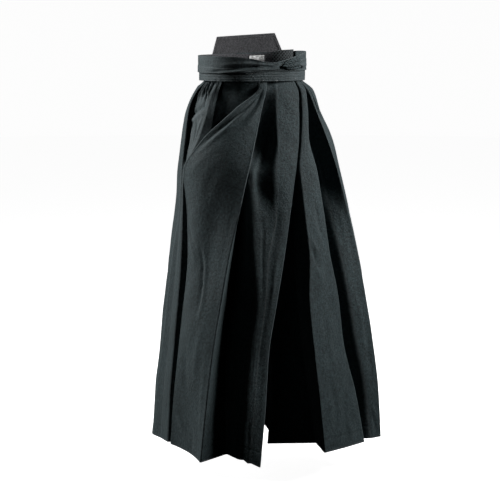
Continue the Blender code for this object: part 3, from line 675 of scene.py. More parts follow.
left_back = leg_panel([
    Fold(behind(LEFT_SLIT_EDGE, LEFT_SIDE_HEM), lift=SIDE_LIFT),
    Fold(LEFT_SIDE_PLEAT, bow=(.001, .001, 0), lift=SIDE_LIFT),
    Fold(LEFT_SIDE_LINE, bow=(.006, .012, .008), soft=.012, lift=.010),
    Fold(LEFT_BACK_CORNER, bow=(.004, .008, .004), soft=.020),
    Fold(LEFT_BACK_PLEAT),
    Fold(LEFT_BACK_TUCK),
    Fold(parted(BACK_SEAM, LEFT_BACK_PARTING, SEAM_GAP / 2))])
LEFT_BACK_CREASES = (
    (((1.3, -.034), (1.34, -.075), (1.3, -.13)), .0024, .005, .02, .6),
    (((1.6, -.034), (1.64, -.085), (1.7, -.15)), -.0024, .0045, .02, .6),
    (((1.85, -.034), (1.84, -.09), (1.9, -.18)), .0026, .006, .02, .6),
    (((2.14, -.034), (2.16, -.08), (2.12, -.14)), -.0026, .005, .02, .6),
    (((2.3, -.034), (2.3, -.105), (2.36, -.22)), .003, .007, .02, .6),
    (((2.5, -.034), (2.48, -.08), (2.5, -.13)), -.0024, .005, .02, .55),
    (((2.7, -.034), (2.7, -.11), (2.64, -.24)), .003, .008, .02, .6),
    (((2.88, -.034), (2.9, -.07), (2.86, -.12)), -.002, .005, .02, .6),
    (((3.16, -.034), (3.2, -.12), (3.14, -.23)), .0026, .008, .02, .6),
    (((3.42, -.034), (3.4, -.085), (3.44, -.15)), -.0022, .0055, .02, .6),
    (((3.68, -.034), (3.66, -.11), (3.62, -.2)), .0022, .007, .02, .6),
    (((2.18, -.3), (2.34, -.4), (2.3, -.52)), .0026, .012, .4, .4),
    (((2.62, -.34), (2.5, -.46), (2.6, -.6)), -.0026, .012, .4, .4),
    (((2.86, -.42), (2.78, -.56), (2.88, -.7)), .0022, .011, .4, .4),
    (((3.24, -.38), (3.4, -.5), (3.32, -.64)), -.0024, .012, .4, .4),
    (((3.6, -.44), (3.54, -.6), (3.66, -.76)), .0022, .011, .4, .4),
    (((2.3, -.66), (2.4, -.78), (2.34, -.9)), .0024, .011, .4, .15),
    (((2.66, -.72), (2.6, -.82), (2.7, -.91)), -.002, .009, .4, .15),
    (((3.3, -.74), (3.44, -.83), (3.4, -.91)), .002, .01, .4, .15),
    (((1.4, -.36), (1.52, -.47), (1.46, -.6)), .0016, .008, .4, .4),
    (((1.62, -.64), (1.5, -.76), (1.58, -.88)), -.0014, .007, .4, .3))
BACK_RIPPLE = 0.0007
press_creases(left_back, LEFT_BACK_CREASES)
ripple(left_back, BACK_RIPPLE, 3)
sew_panel(left_back, "leg_back_left", "back_left")

# ---- Back of the right leg ---------------------------------------------------
# The other back width of the twill, with its half of the box pleat.  At the wearer's right hip
# it is gathered into the band, and the gathers show through the side opening.
RIGHT_BACK_TUCK = (
    (-.034, .080), (-.036, .092), (-.038, .098), (-.040, .102), (-.040, .104),
    (-.042, .104), (-.044, .103), (-.048, .101), (-.051, .099), (-.056, .097), (-.062, .096))
RIGHT_BACK_PLEAT = (
    (-.009, .091), (-.009, .104), (-.009, .110), (-.010, .116), (-.012, .120),
    (-.014, .124), (-.016, .126), (-.020, .129), (-.026, .132), (-.033, .134), (-.040, .136))
RIGHT_BACK_CORNER = (
    (-.084, .077), (-.096, .084), (-.115, .087), (-.134, .090), (-.142, .094),
    (-.153, .097), (-.164, .100), (-.174, .103), (-.186, .109), (-.197, .114), (-.206, .120))
RIGHT_SIDE_LINE = (
    (-.123, .004), (-.149, -.004), (-.168, -.002), (-.182, -.006), (-.190, .000),
    (-.198, -.003), (-.213, .001), (-.224, .007), (-.236, .014), (-.248, .029), (-.254, .042))
RIGHT_HIP_TUCK = (            # a tuck at the hip, a faint crease below it
    (-.117, .006), (-.137, .008), (-.159, .008), (-.171, .002), (-.1845, -.013),
    (-.1975, -.016), (-.2085, -.017), (-.219, -.0165), (-.231, -.013), (-.2425, -.004),
    (-.248, .005))
RIGHT_SIDE_PLEAT = (
    (-.112, -.036), (-.128, -.046), (-.142, -.057), (-.170, -.052), (-.195, -.026),
    (-.200, -.029), (-.207, -.036), (-.217, -.041), (-.229, -.041), (-.240, -.038), (-.245, -.033))
RIGHT_SLIT_EDGE = (
    (-.100, -.042), (-.112, -.050), (-.127, -.058), (-.150, -.070), (-.189, -.029))
RIGHT_BACK_PARTING = ((0, 0), (-.012, -.002), (-.024, -.006), (-.034, -.008), (-.040, -.008))

right_back = leg_panel([
    Fold(parted(BACK_SEAM, RIGHT_BACK_PARTING, -SEAM_GAP / 2)),
    Fold(RIGHT_BACK_TUCK),
    Fold(RIGHT_BACK_PLEAT, bow=(.004, .008, .004)),
    Fold(RIGHT_BACK_CORNER, bow=(.006, .012, .008), soft=.020, lift=.005),
    Fold(RIGHT_SIDE_LINE, lift=SIDE_LIFT),
    Fold(RIGHT_HIP_TUCK, bow=(.005, .001, 0), lift=SIDE_LIFT, pitch=0.0014),
    Fold(RIGHT_SIDE_PLEAT, lift=SIDE_LIFT, pitch=0.0022),
    Fold(behind(RIGHT_SLIT_EDGE, RIGHT_SIDE_HEM), lift=SIDE_LIFT)])
RIGHT_BACK_CREASES = (
    (((3.2, -.034), (3.22, -.09), (3.16, -.17)), .0026, .006, .02, .6),
    (((3.46, -.034), (3.44, -.08), (3.5, -.14)), -.0026, .005, .02, .6),
    (((3.64, -.034), (3.68, -.11), (3.62, -.21)), .003, .007, .02, .6),
    (((3.86, -.034), (3.84, -.085), (3.88, -.15)), -.0022, .005, .02, .6),
    (((2.24, -.034), (2.28, -.11), (2.34, -.22)), .0026, .008, .02, .6),
    (((2.5, -.034), (2.5, -.08), (2.46, -.14)), -.0024, .005, .02, .6),
    (((2.74, -.034), (2.72, -.12), (2.78, -.24)), .0028, .008, .02, .6),
    (((3.22, -.3), (3.34, -.42), (3.28, -.56)), .0026, .012, .4, .4),
    (((3.62, -.35), (3.52, -.47), (3.6, -.6)), -.0026, .012, .4, .4),
    (((3.84, -.43), (3.76, -.56), (3.86, -.69)), .0022, .01, .4, .4),
    (((2.26, -.38), (2.4, -.5), (2.34, -.64)), -.0024, .012, .4, .4),
    (((2.62, -.44), (2.54, -.6), (2.66, -.76)), .0022, .011, .4, .4),
    (((3.3, -.66), (3.42, -.78), (3.36, -.9)), .0024, .011, .4, .15),
    (((3.66, -.72), (3.6, -.82), (3.72, -.91)), -.002, .009, .4, .15),
    (((2.34, -.74), (2.46, -.83), (2.4, -.91)), .002, .01, .4, .15),
    (((5.3, -.3), (5.44, -.4), (5.36, -.52)), .001, .005, .4, .4))
press_creases(right_back, RIGHT_BACK_CREASES)
ripple(right_back, BACK_RIPPLE, 4)
HIP_START = 5                 # the hip is gathered from this fold on,
HIP_BOTTOM = -0.30            # and painted paler down to this height
HIP_FLAT_PALENESS = 0.45               # how pale the hip is painted where it lies flat
HIP_HIGHLIGHT_RISE = 0.0035        # rise of a gather that is painted palest: painted highlight on ridges, painted shade in hollows
RIGHT_HIP_GATHERS = (         # short tucks that fan out of the band, and the folds under them
    (((5.07, -.028), (5.08, -.056), (5.1, -.082)), .0043, .0026, .02, .6),
    (((5.17, -.028), (5.19, -.046), (5.21, -.062)), -.0055, .0023, .02, .55),
    (((5.26, -.028), (5.29, -.06), (5.32, -.1)), .0061, .0027, .02, .6),
    (((5.35, -.028), (5.38, -.046), (5.43, -.066)), -.0058, .0023, .02, .55),
    (((5.45, -.028), (5.48, -.056), (5.56, -.084)), .0058, .0026, .02, .6),
    (((5.54, -.028), (5.58, -.048), (5.62, -.07)), -.0061, .0024, .02, .55),
    (((5.64, -.028), (5.67, -.046), (5.7, -.062)), .0055, .0024, .02, .6),
    (((5.73, -.028), (5.77, -.06), (5.84, -.094)), -.0058, .0026, .02, .6),
    (((5.83, -.028), (5.86, -.052), (5.92, -.076)), .0052, .0025, .02, .55),
    (((5.93, -.028), (5.94, -.044), (5.96, -.058)), -.0038, .002, .02, .6),
    (((6.18, -.028), (6.14, -.052), (6.16, -.074)), .0026, .0022, .02, .6),
    (((6.36, -.028), (6.34, -.044), (6.3, -.06)), -.0026, .002, .02, .55),
    (((6.56, -.028), (6.52, -.056), (6.48, -.09)), .0026, .0024, .02, .55),
    (((5.06, -.116), (5.36, -.1), (5.7, -.088), (5.97, -.083)), -.0044, .0034, .1, .25),
    (((5.1, -.128), (5.42, -.112), (5.76, -.101), (5.97, -.098)), .0034, .004, .12, .25),
    (((5.52, -.118), (5.66, -.148), (5.74, -.19)), -.0026, .004, .2, .5),
    (((5.28, -.128), (5.36, -.17), (5.32, -.226)), .0026, .0045, .25, .5),
    (((5.84, -.108), (5.8, -.15), (5.84, -.19)), .002, .0034, .25, .5))
press_creases(right_back, RIGHT_HIP_GATHERS)
# Painted highlight and shade on the hip gathers: paler on each raised ridge, darker in each
# hollow.
hip = (right_back.stations > HIP_START) & (right_back.levels[:, None] > HIP_BOTTOM)
right_back.worn = np.maximum(right_back.worn, np.where(
    hip, np.clip(HIP_FLAT_PALENESS + right_back.raised / HIP_HIGHLIGHT_RISE, 0, 1), 0))
sew_panel(right_back, "leg_back_right", "back_right")

# ---- Gussets -----------------------------------------------------------------
# The inner side of each leg, a strip of the same twill let in from the crotch to the hem, which
# divides the garment into two legs.
GUSSET_GAP = 0.0016 + SEAM_GAP  # clears the thickness of the panel that it is sewn to


def inset(stand, dy):
    return lambda z: (stand(z)[0], stand(z)[1] + dy)


GUSSETS = {
    "right": [Fold(inset(parted(FRONT_SEAM, RIGHT_FRONT_PARTING, -SEAM_GAP), GUSSET_GAP)),
              Fold(inset(parted(BACK_SEAM, RIGHT_BACK_PARTING, -SEAM_GAP), -GUSSET_GAP))],
    "left": [Fold(inset(parted(BACK_SEAM, LEFT_BACK_PARTING, SEAM_GAP), -GUSSET_GAP),
                  bow=(0, 0, -.012)),
             Fold(inset(parted(FRONT_SEAM, LEFT_FRONT_PARTING, SEAM_GAP), GUSSET_GAP))]}
for side, edges in GUSSETS.items():
    sew_panel(leg_panel(edges, top=CROTCH_HEIGHT), "inner_leg_" + side, "gusset_" + side)

# ---- Cloth folded in at the right side opening -------------------------------
# The spare width of the front's twill at the wearer's right side.  It is caught in the waistband
# and hangs behind the slanting edge, in front of the gathered back.
FLAP_ROWS = 26
FLAP_COLUMNS = 34
WAIST_HALF_WIDTH = 0.128        # inner face of the waistband
WAIST_HALF_DEPTH = 0.098
WAIST_SETBACK = -0.002
FRONT_FLATNESS = 2.3            # exponent of the waist ring in front; 2 would be an ellipse
BACK_FLATNESS = 2.6


def ring_point(angle, offset):
    """A point on the waist ring; 0 degrees is the front, +90 the wearer's left side."""
    flat = FRONT_FLATNESS if abs(angle) <= 90 else BACK_FLATNESS
    s, c = sin(radians(angle)), cos(radians(angle))
    x = (abs(s) ** (2 / flat)) * (1 if s > 0 else -1)
    y = (abs(c) ** (2 / flat)) * (1 if c > 0 else -1)
    return x * (WAIST_HALF_WIDTH + offset), WAIST_SETBACK - y * (WAIST_HALF_DEPTH + offset)


def laid_sheet(columns, rows, spot, stations=(0, 1)):
    """A sheet from the point that it has at each share across and each share down."""
    across = [c / columns for c in range(columns + 1)]
    down = [r / rows for r in range(rows + 1)]
    first, last = stations
    return Cloth([[spot(a, d) for a in across] for d in down],
                 [[first + (last - first) * a for a in across]] * (rows + 1), [-d for d in down])


# Each edge of the flap: where it is caught in the waistband, then (x, y, z) down to its tip.
FLAP_EDGES = (
    (-52, (-.105, -.055, -.050), (-.122, -.051, -.090), (-.132, -.054, -.130)),
    (-33, (-.074, -.0775, -.050), (-.084, -.075, -.078), (-.093, -.076, -.105)),
    (-12, (-.034, -.0935, -.050), (-.044, -.0935, -.062), (-.054, -.094, -.075)))
flap_paths = []
for angle, *hanging in FLAP_EDGES:
    caught = ring_point(angle, -2 * SEAM_GAP)
    flap_paths.append([(*caught, PLEAT_TOP), (*caught, HEIGHTS[0])] + hanging)


def flap_spot(across, down):
    corners = [[smooth_value((0, 1, 2, 3, 4), [point[axis] for point in path], 4 * down)
                for axis in range(3)] for path in flap_paths]
    return [smooth_value((0, 1, 2), [corner[axis] for corner in corners], 2 * across)
            for axis in range(3)]


flap = laid_sheet(FLAP_COLUMNS, FLAP_ROWS, flap_spot, (0, 2))
press_creases(flap, (
    (((.1, -.3), (.16, -1.0)), .0016, .004, .3, .3, (0, 2)),
    (((.55, -.25), (.42, -.9)), -.0014, .008, .3, .3, (0, 2)),
    (((1.3, -.25), (.9, -.95)), .0014, .01, .3, .3, (0, 2))))
fit(flap.make("side_opening_flap", CLOTH, black_twill), "side_fold_right", flap)

# ---- Waistbands --------------------------------------------------------------
# A straight strip of the twill folded double over the tops of the pleats, front and back, and
# sewn through in four rows; black thread, with a few pale bar tacks where the pleats end.
BAND_THICKNESS = 0.0025
BAND_BOTTOM = -0.027
BAND_TOP = -0.003
STITCH_ROWS = (-.12, -.37, -.63, -.88)
PUCKER_PITCH = 3.1              # degrees between the small puckers over the pleats


def wound_strip(stations, thickness, step, rows):
    """A strip wound round the waist.  A station is (angle, bottom, top, offset), where the
    offset is how far its inner face lies outside the ring; levels run from 0 down to -1."""
    angles = [station[0] for station in stations]
    count = max(2, round((angles[-1] - angles[0]) / step))
    turns = [angles[0] + (angles[-1] - angles[0]) * i / count for i in range(count + 1)]
    facts = [[smooth_value(angles, [s[k] for s in stations], angle) for k in (1, 2, 3)]
             for angle in turns]
    shares = [r / rows for r in range(rows + 1)]
    grid = [[(*ring_point(angle, offset + thickness), top + (bottom - top) * share)
             for angle, (bottom, top, offset) in zip(turns, facts)] for share in shares]
    return Cloth(grid, [turns] * (rows + 1), [-share for share in shares])


def thread(name, colour):
    """Twisted sewing thread, smoother and shinier than the cloth."""
    twist = Finish(name, {"Roughness": 0.5, "Sheen Weight": 0.15})
    strands = twist.waves(twist.node("TexCoord")["Object"], "DIAGONAL", 1200)["Fac"]
    tone = twist.colours(strands, (0, [0.7 * c for c in colour]), (1, colour))
    twist.feed(twist.shader, {"Base Color": tone})
    return twist.material


black_thread = thread("black thread", (0.075, 0.088, 0.090))
pale_thread = thread("pale thread", (0.55, 0.58, 0.58))
STITCH_SIDES = 6
STITCH_RINGS = ((-0.5, 0.25), (-0.3, 1.0), (0.3, 1.0), (0.5, 0.25))


def stitches(name, marks, length, radius, material):
    """Separate stitches, each a short fat thread, at (point, direction, outward) marks."""
    points, faces = [], []
    for spot, direction, out in marks:
        direction = direction / np.linalg.norm(direction)
        across = np.cross(out, direction)
        across /= np.linalg.norm(across)
        out = np.cross(direction, across)
        start = len(points)
        for along, girth in STITCH_RINGS:
            for side in range(STITCH_SIDES):
                turn = 2 * pi * side / STITCH_SIDES
                points.append(spot + direction * along * length
                              + (across * cos(turn) + out * sin(turn)) * radius * girth)
        for ring in range(len(STITCH_RINGS) - 1):
            for side in range(STITCH_SIDES):
                here, beside = start + ring * STITCH_SIDES, (side + 1) % STITCH_SIDES
                faces.append((here + side, here + beside,
                              here + STITCH_SIDES + beside, here + STITCH_SIDES + side))
        faces.append(tuple(start + side for side in reversed(range(STITCH_SIDES))))
        last = start + (len(STITCH_RINGS) - 1) * STITCH_SIDES
        faces.append(tuple(last + side for side in range(STITCH_SIDES)))
    piece = new_piece(name, [tuple(p) for p in points], faces, material)
    piece.data.shade_smooth()
    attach(piece, "root")


def surface(sheet, station, level):
    """A point on the raised outer face, and the way out of it."""
    row = int(np.argmin(np.abs(sheet.levels - level)))
    column = int(np.argmin(np.abs(sheet.stations[row] - station)))
    out = sheet.normals[row, column]
    return sheet.place(station, level) + out * sheet.raised[row, column], out


STITCH_SHARE = 0.62             # how much of each pitch the thread lies on the outside
ROW_STEPS = 24                  # pieces that a row is measured in


def between(first, second, share):
    return [a + (b - a) * share for a, b in zip(first, second)]


def row_of_stitches(sheet, path, pitch):
    """Marks for a row of running stitches along a path of stations and levels."""
    marks = []
    for first, second in zip(path, path[1:]):
        line = [sheet.place(*between(first, second, k / ROW_STEPS)) for k in range(ROW_STEPS + 1)]
        length = sum(np.linalg.norm(q - p) for p, q in zip(line, line[1:]))
        count = max(1, round(length / pitch))
        for i in range(count):
            (start, out), (end, out) = (
                surface(sheet, *between(first, second, (i + 0.5 + half) / count))
                for half in (-STITCH_SHARE / 2, STITCH_SHARE / 2))
            marks.append(((start + end) / 2, end - start, out))
    return marks


BAND_FADE = 0.48                # how far knotting and tucking have rubbed the dye away
STITCH_PITCH = 0.0034
STITCH_RADIUS = 0.00038
BAND_FURROW = 0.0006            # how deep the rows of stitches sink into the band
bands = {"front": (-100, 100), "back": (100.3, 259.7)}
band_marks = []
for side, (start, end) in bands.items():
    band = wound_strip([(start, BAND_BOTTOM, BAND_TOP, 0), (end, BAND_BOTTOM, BAND_TOP, 0)],
                       BAND_THICKNESS, step=1.0, rows=24)
    for level in STITCH_ROWS:
        puckers = 1 + 0.6 * (np.sin(band.stations * 2.3 + 9 * level)
                             * np.sin(band.stations * 0.71 + 4 * level))
        band.raised -= BAND_FURROW * puckers * bell(band.levels[:, None] - level, 0.05)
    random = np.random.default_rng(11 if side == "front" else 12)
    for turn in np.arange(start + 2, end - 2, PUCKER_PITCH):
        turn += random.uniform(-1.0, 1.0)
        band.crease([(turn, -.97), (turn + random.uniform(-1.5, 1.5), -random.uniform(.35, .7))],
                    random.uniform(-.0005, .0006), .0028, fade=(0, .6), reach=(turn - 6, turn + 6))
    band.worn += np.maximum(BAND_FADE, np.clip(1 - np.abs(band.levels[:, None] + 1) / .04, 0, 1))
    fit(band.make("waistband_" + side, BAND_THICKNESS, black_twill, round_edges=0.0006),
        side + "_waistband", band)
    for level in STITCH_ROWS:
        band_marks += row_of_stitches(band, [(start + 1, level), (end - 1, level)], STITCH_PITCH)
    if side == "front":
        front_band = band
stitches("waist_stitching", band_marks, STITCH_PITCH * STITCH_SHARE, STITCH_RADIUS, black_thread)
TACK_PITCH = 0.0026
TACK_SHARE = 0.8
TACK_RADIUS = 0.0005
TACK_REACH = 1.1                # degrees from the middle of a tack to its ends
TACK_SLANT = 0.03
BAR_TACKS = (                   # the middle of each tack as (angle, level)
    (-24, -.22), (-21, -.30), (-18, -.24), (-17, -.55), (-7, -.93), (5, -.95), (31, -.80))
tack_marks = []
for angle, level in BAR_TACKS:
    tack_marks += row_of_stitches(
        front_band, [(angle - TACK_REACH, level), (angle + TACK_REACH, level + TACK_SLANT)],
        TACK_PITCH)
stitches("bar_tacks", tack_marks, TACK_PITCH * TACK_SHARE, TACK_RADIUS, pale_thread)

# ---- Inner band of the back --------------------------------------------------
# The inside of the back waist, faced with a stiff band that is quilted through in crossing
# rows.  It shows over the front, at the wearer's left, and carries the foot of the board.
INNER_CLOTH = 0.0016
INNER_BAND_OFFSET = -(INNER_CLOTH + 2 * SEAM_GAP)
QUILT_PITCH = 0.0090
QUILT_DEPTH = 0.0005
QUILT_SHARPNESS = 14            # higher makes the quilted furrows narrower
FACING_JOIN = 0.090             # from here on the band is covered like the board
inner_band = wound_strip(
    [(angle, -.010, top, INNER_BAND_OFFSET)
     for angle, top in ((101, .047), (125, .045), (150, .036), (258, .034))],
    INNER_CLOTH, step=0.55, rows=52)
around = run_along(inner_band.points[:1])
climb = inner_band.points[:, :, 2]
grooves = np.maximum(*(np.abs(np.cos((around + lean) * pi / QUILT_PITCH)) ** QUILT_SHARPNESS
                       for lean in (climb, -climb)))
inner_band.raised -= QUILT_DEPTH * grooves
inner_band.worn = grooves
facing_cotton = twill("waist facing", (0.006, 0.008, 0.009), (0.009, 0.012, 0.013), sheen=0.02,
                      worn=(0.22, 0.25, 0.26))
BOARD_DARK = (0.0365, 0.0365, 0.041)
BOARD_LIGHT = (0.0485, 0.048, 0.053)
board_cover = twill("board cover", BOARD_DARK, BOARD_LIGHT, rib=0.0006, sheen=0.1, roughness=0.6)
inner_piece = inner_band.make("waist_facing_back", INNER_CLOTH, facing_cotton, round_edges=0.0004)
inner_piece.data.materials.append(board_cover)
for face in inner_piece.data.polygons:
    face.material_index = int(face.center.x < FACING_JOIN)
fit(inner_piece, "back_inner_band", inner_band)

# ---- Ties --------------------------------------------------------------------
# Long straps of the twill, folded lengthwise in three and stitched along their edges.  They are
# wound flat round the waist over the bands; at the front the right one passes over the left
# one, and drawn tight both gather into creases.
TIE_CLOTH = 0.0016
TIE_OFFSET = 0.0030
TIE_CROSSING = 0.0022           # how much further out the tie lies that passes over the other
FOLD_LINE_TAPER = 8             # degrees over which a folded layer's edge begins and ends


def fold_line(sheet, path, height, width):
    """An edge of an overlapping layer: the cloth below the path stands out by a height."""
    first, last = path[0][0], path[-1][0]
    edge = np.interp(sheet.stations, *zip(*path))
    inside = (sheet.stations >= first) & (sheet.stations <= last)
    ends = (smooth_step((sheet.stations - first) / FOLD_LINE_TAPER)
            * smooth_step((last - sheet.stations) / FOLD_LINE_TAPER))
    above = edge - sheet.levels[:, None]
    sheet.raised += np.where(inside, height * smooth_step(above / width + 0.5) * ends, 0)
    # A pale band along that edge: partly rubbed, partly painted highlight.
    sheet.worn = np.maximum(sheet.worn, np.where(inside, 0.6 * bell(above, width), 0))


def strap(sheet, name, node, marks):
    """Finish a tie and add the stitching along both of its edges."""
    # Painted highlight and shade on the ties: paler on raised creases, darker in pressed furrows,
    # over the faded dye of the band.
    rubbed_and_highlit = BAND_FADE * np.clip(0.8 + sheet.raised / 0.003, 0, 1.3)
    sheet.worn = np.maximum(sheet.worn, rubbed_and_highlit)
    fit(sheet.make(name, TIE_CLOTH, black_twill, round_edges=0.0005), node,
        sheet)
    first, last = sheet.stations[0, 0], sheet.stations[0, -1]
    for level in (-.06, -.94):
        marks += row_of_stitches(sheet, [(first + 2, level), (last - 2, level)], STITCH_PITCH)


tie_marks = []
left_tie = wound_strip(
    [(angle, bottom, top, TIE_OFFSET) for angle, bottom, top in (
        (-5, -.002, .015), (10, -.002, .020), (30, -.002, .032), (60, -.002, .042),
        (90, .000, .044), (130, .000, .040), (179.6, .000, .038))], TIE_CLOTH, step=0.7, rows=36)
fold_line(left_tie, [(2, -.30), (20, -.34), (55, -.40), (100, -.36), (176, -.42)], .0009, .05)
press_creases(left_tie, (
    (((4, -.55), (24, -.6), (52, -.75), (84, -.82)), .0026, .0036, .1, .5, None, .6),
    (((6, -.25), (28, -.2), (60, -.16)), -.0022, .003, .1, .6),
    (((14, -.42), (34, -.44), (56, -.56)), -.002, .0024, .2, .5),
    (((12, -.26), (18, -.22), (24, -.24)), -.005, .0024, .2, .3, (5, 60)),
    (((7, -.66), (13, -.6), (17, -.64)), -.0046, .0024, .2, .3, (2, 60)),
    (((24, -.8), (34, -.86), (46, -.92)), -.005, .0024, .2, .3, (5, 70)),
    (((13, -.1), (20, -.34), (31, -.58)), -.003, .0026, .2, .3, (5, 60)),
    (((24, -.08), (33, -.3), (47, -.46)), .0024, .003, .2, .4, (5, 70)),
    (((30, -.62), (42, -.5), (60, -.46)), -.0026, .0024, .2, .4, (5, 80)),
    (((38, -.9), (48, -.74), (66, -.66)), .0022, .0026, .2, .4, (5, 80)),
    (((46, -.1), (54, -.34), (68, -.52)), -.002, .0028, .2, .4, (20, 90)),
    (((20, -.84), (38, -.88), (62, -.94)), -.0018, .0024, .2, .5),
    (((15, -.2), (18, -.34), (22, -.46)), -.0058, .0021, .3, .3, (11, 26)),
    (((17, -.48), (21, -.32), (26, -.22)), -.0058, .0021, .3, .3, (13, 30)),
    (((5, -.56), (8, -.66), (12, -.74)), -.006, .0021, .3, .3, (1, 16)),
    (((26, -.66), (29, -.76), (34, -.86)), -.0056, .0021, .3, .3, (22, 38)),
    (((22, -.58), (25, -.7), (28, -.84)), .003, .0021, .3, .3, (18, 32)),
    (((36, -.7), (40, -.8), (45, -.88)), -.0052, .0021, .3, .3, (32, 49)),
    (((31, -.6), (35, -.72), (38, -.86)), .0028, .0021, .3, .3, (27, 42)),
    (((10, -.4), (13, -.5), (18, -.58)), .0026, .0021, .3, .3, (6, 22)),
    (((70, -.15), (96, -.45), (118, -.9)), .0011, .006, .4, .4),
    (((120, -.5), (150, -.62), (176, -.55)), .0009, .005, .3, .3)))
strap(left_tie, "tie_left", "tie_left_wrap", tie_marks)

right_tie = wound_strip(
    [(angle, bottom, top, TIE_OFFSET + over) for angle, bottom, top, over in (
        (-179.6, .000, .036, 0), (-130, -.004, .034, 0), (-90, -.008, .033, 0),
        (-40, -.007, .031, 0), (-18, -.005, .026, 0),
        (-8, -.001, .021, TIE_CROSSING), (7, .001, .014, TIE_CROSSING))],
    TIE_CLOTH, step=1.4, rows=34)
fold_line(right_tie, [(-176, -.62), (-120, -.60), (-80, -.66), (-52, -.74), (-30, -.72),
                      (-2, -.55)], .0011, .05)
press_creases(right_tie, (
    (((-92, -.95), (-64, -.9), (-40, -.8), (-16, -.62), (5, -.5)), -.003, .0032, .3, .1),
    (((-78, -.62), (-50, -.5), (-24, -.38), (4, -.32)), .0018, .0046, .5, .1, None, .5),
    (((-58, -.92), (-38, -.9), (-20, -.8)), .0014, .0028, .3, .3),
    (((-120, -.3), (-88, -.22), (-56, -.3)), .0008, .006, .3, .3),
    (((-30, -.14), (-10, -.18), (6, -.2)), -.0012, .003, .5, .1),
    (((-172, -.3), (-150, -.42), (-126, -.3)), .0009, .006, .3, .3)))
strap(right_tie, "tie_right", "tie_right_wrap", tie_marks)
stitches("tie_stitching", tie_marks, STITCH_PITCH * STITCH_SHARE, STITCH_RADIUS, black_thread)

# ---- Tucked ends of the ties -------------------------------------------------
# At the wearer's left front the ends of the ties are passed behind the band and lie in a few
# flat, crumpled folds one over the other; there is no bow.
FOLD_GIRTH = 20                 # points round a tucked fold
FOLD_STEPS = 60                 # and pieces along it
WRINKLE = 0.62                  # how strongly its thickness varies


def tucked_fold(path):
    """A flattened fold of tie along (angle, height, offset, half width, half thickness)."""
    marks = [p[0] for p in path]
    rows = []
    for i in range(FOLD_STEPS + 1):
        angle = marks[0] + (marks[-1] - marks[0]) * i / FOLD_STEPS
        height, offset, half, thick = (smooth_value(marks, [p[k] for p in path], angle)
                                       for k in (1, 2, 3, 4))
        near, far = ring_point(angle - 0.5, 0), ring_point(angle + 0.5, 0)
        along = unit(far[0] - near[0], far[1] - near[1])
        out = np.array((along[1], -along[0], 0.0))
        middle = np.array((*ring_point(angle, offset), height))
        row = []
        for k in range(FOLD_GIRTH):
            turn = 2 * pi * k / FOLD_GIRTH
            flat_side = abs(cos(turn)) ** 0.55 * (1 if cos(turn) >= 0 else -1)
            wrinkle = 1 + WRINKLE * sin(3 * turn + 0.3 * i) * sin(0.45 * i)
            row.append(tuple(middle + np.array((0, 0, half * sin(turn)))
                             + out * thick * flat_side * wrinkle))
        rows.append(row)
    return rows


def folded_ends(name, paths, material):
    """Join the tucked folds into one piece, each closed at both ends."""
    points, faces = [], []
    for path in paths:
        start = len(points)
        for row in tucked_fold(path):
            points += row
        for i in range(FOLD_STEPS):
            for k in range(FOLD_GIRTH):
                a, b = (start + i * FOLD_GIRTH + side for side in (k, (k + 1) % FOLD_GIRTH))
                faces.append((a, a + FOLD_GIRTH, b + FOLD_GIRTH, b))
        faces.append(tuple(start + k for k in range(FOLD_GIRTH)))
        last = start + FOLD_STEPS * FOLD_GIRTH
        faces.append(tuple(last + k for k in reversed(range(FOLD_GIRTH))))
    piece = new_piece(name, points, faces, material)
    flat_cloth = piece.data.uv_layers.new(name="flat cloth")
    for loop in piece.data.loops:
        spot = piece.data.vertices[loop.vertex_index].co
        flat_cloth.data[loop.index].uv = (spot.x, spot.z)
    piece.data.shade_smooth()
    return piece


# Each path: angle round the waist, height, offset, half width and half thickness.
tucked_ends = folded_ends("tie_ends", (
    ((11, .0125, .0080, .0020, .0010), (16, .0165, .0092, .0036, .0019),
     (26, .0228, .0098, .0042, .0022), (36, .0272, .0085, .0036, .0017),
     (40, .0285, .0070, .0018, .0008)),
    ((10, .0080, .0098, .0018, .0010), (15, .0088, .0112, .0030, .0018),
     (24, .0112, .0120, .0034, .0020), (33, .0140, .0108, .0030, .0017),
     (38, .0168, .0085, .0016, .0008)),
    ((14, .0035, .0075, .0014, .0009), (20, .0032, .0088, .0022, .0016),
     (30, .0048, .0085, .0024, .0016), (38, .0072, .0072, .0014, .0008))), black_twill)
fit(tucked_ends, "tie_knot")

# ---- Back board --------------------------------------------------------------
# The stiff board that stands at the small of the back: a thin panel covered in smooth dark
# cloth, with its cover turned over the top edge and stitched round.
BOARD_THICKNESS = 0.004
BOARD_MIDDLE = 0.033            # it sits a little to the wearer's left
BOARD_HALF_BOTTOM = 0.108
BOARD_HALF_TOP = 0.079
BOARD_BOTTOM = 0.004
BOARD_TOP = 0.0825
BOARD_ROLL = 0.060              # rise of the top edge towards the wearer's left, per metre
BOARD_LEAN = 0.13               # lean away from the body, per metre of height
BOARD_CURVE = 0.7               # how much it bends round the back
BOARD_OFFSET = TIE_OFFSET + TIE_CLOTH + 3 * SEAM_GAP
BOARD_COLUMNS = 120
BOARD_ROWS = 72
BINDING = 0.0085                # depth of the cover's turned edge
SIDE_BINDING = BINDING * 0.8
BOARD_WEAR = 0.0015             # how far in from its edges the cover is rubbed
TOP_FURROW = (0.0006, 0.0010)   # depth and width of the furrow along the turned edge
SIDE_FURROW = (0.0005, 0.0012)


def back_depth(x, offset):
    """Y of the ring's back at a distance x from the middle."""
    across = min(1.0, abs(x) / (WAIST_HALF_WIDTH + offset))
    return (WAIST_SETBACK + (WAIST_HALF_DEPTH + offset)
            * (1 - across ** BACK_FLATNESS) ** (1 / BACK_FLATNESS))


board_back = back_depth(0, BOARD_OFFSET + BOARD_THICKNESS)


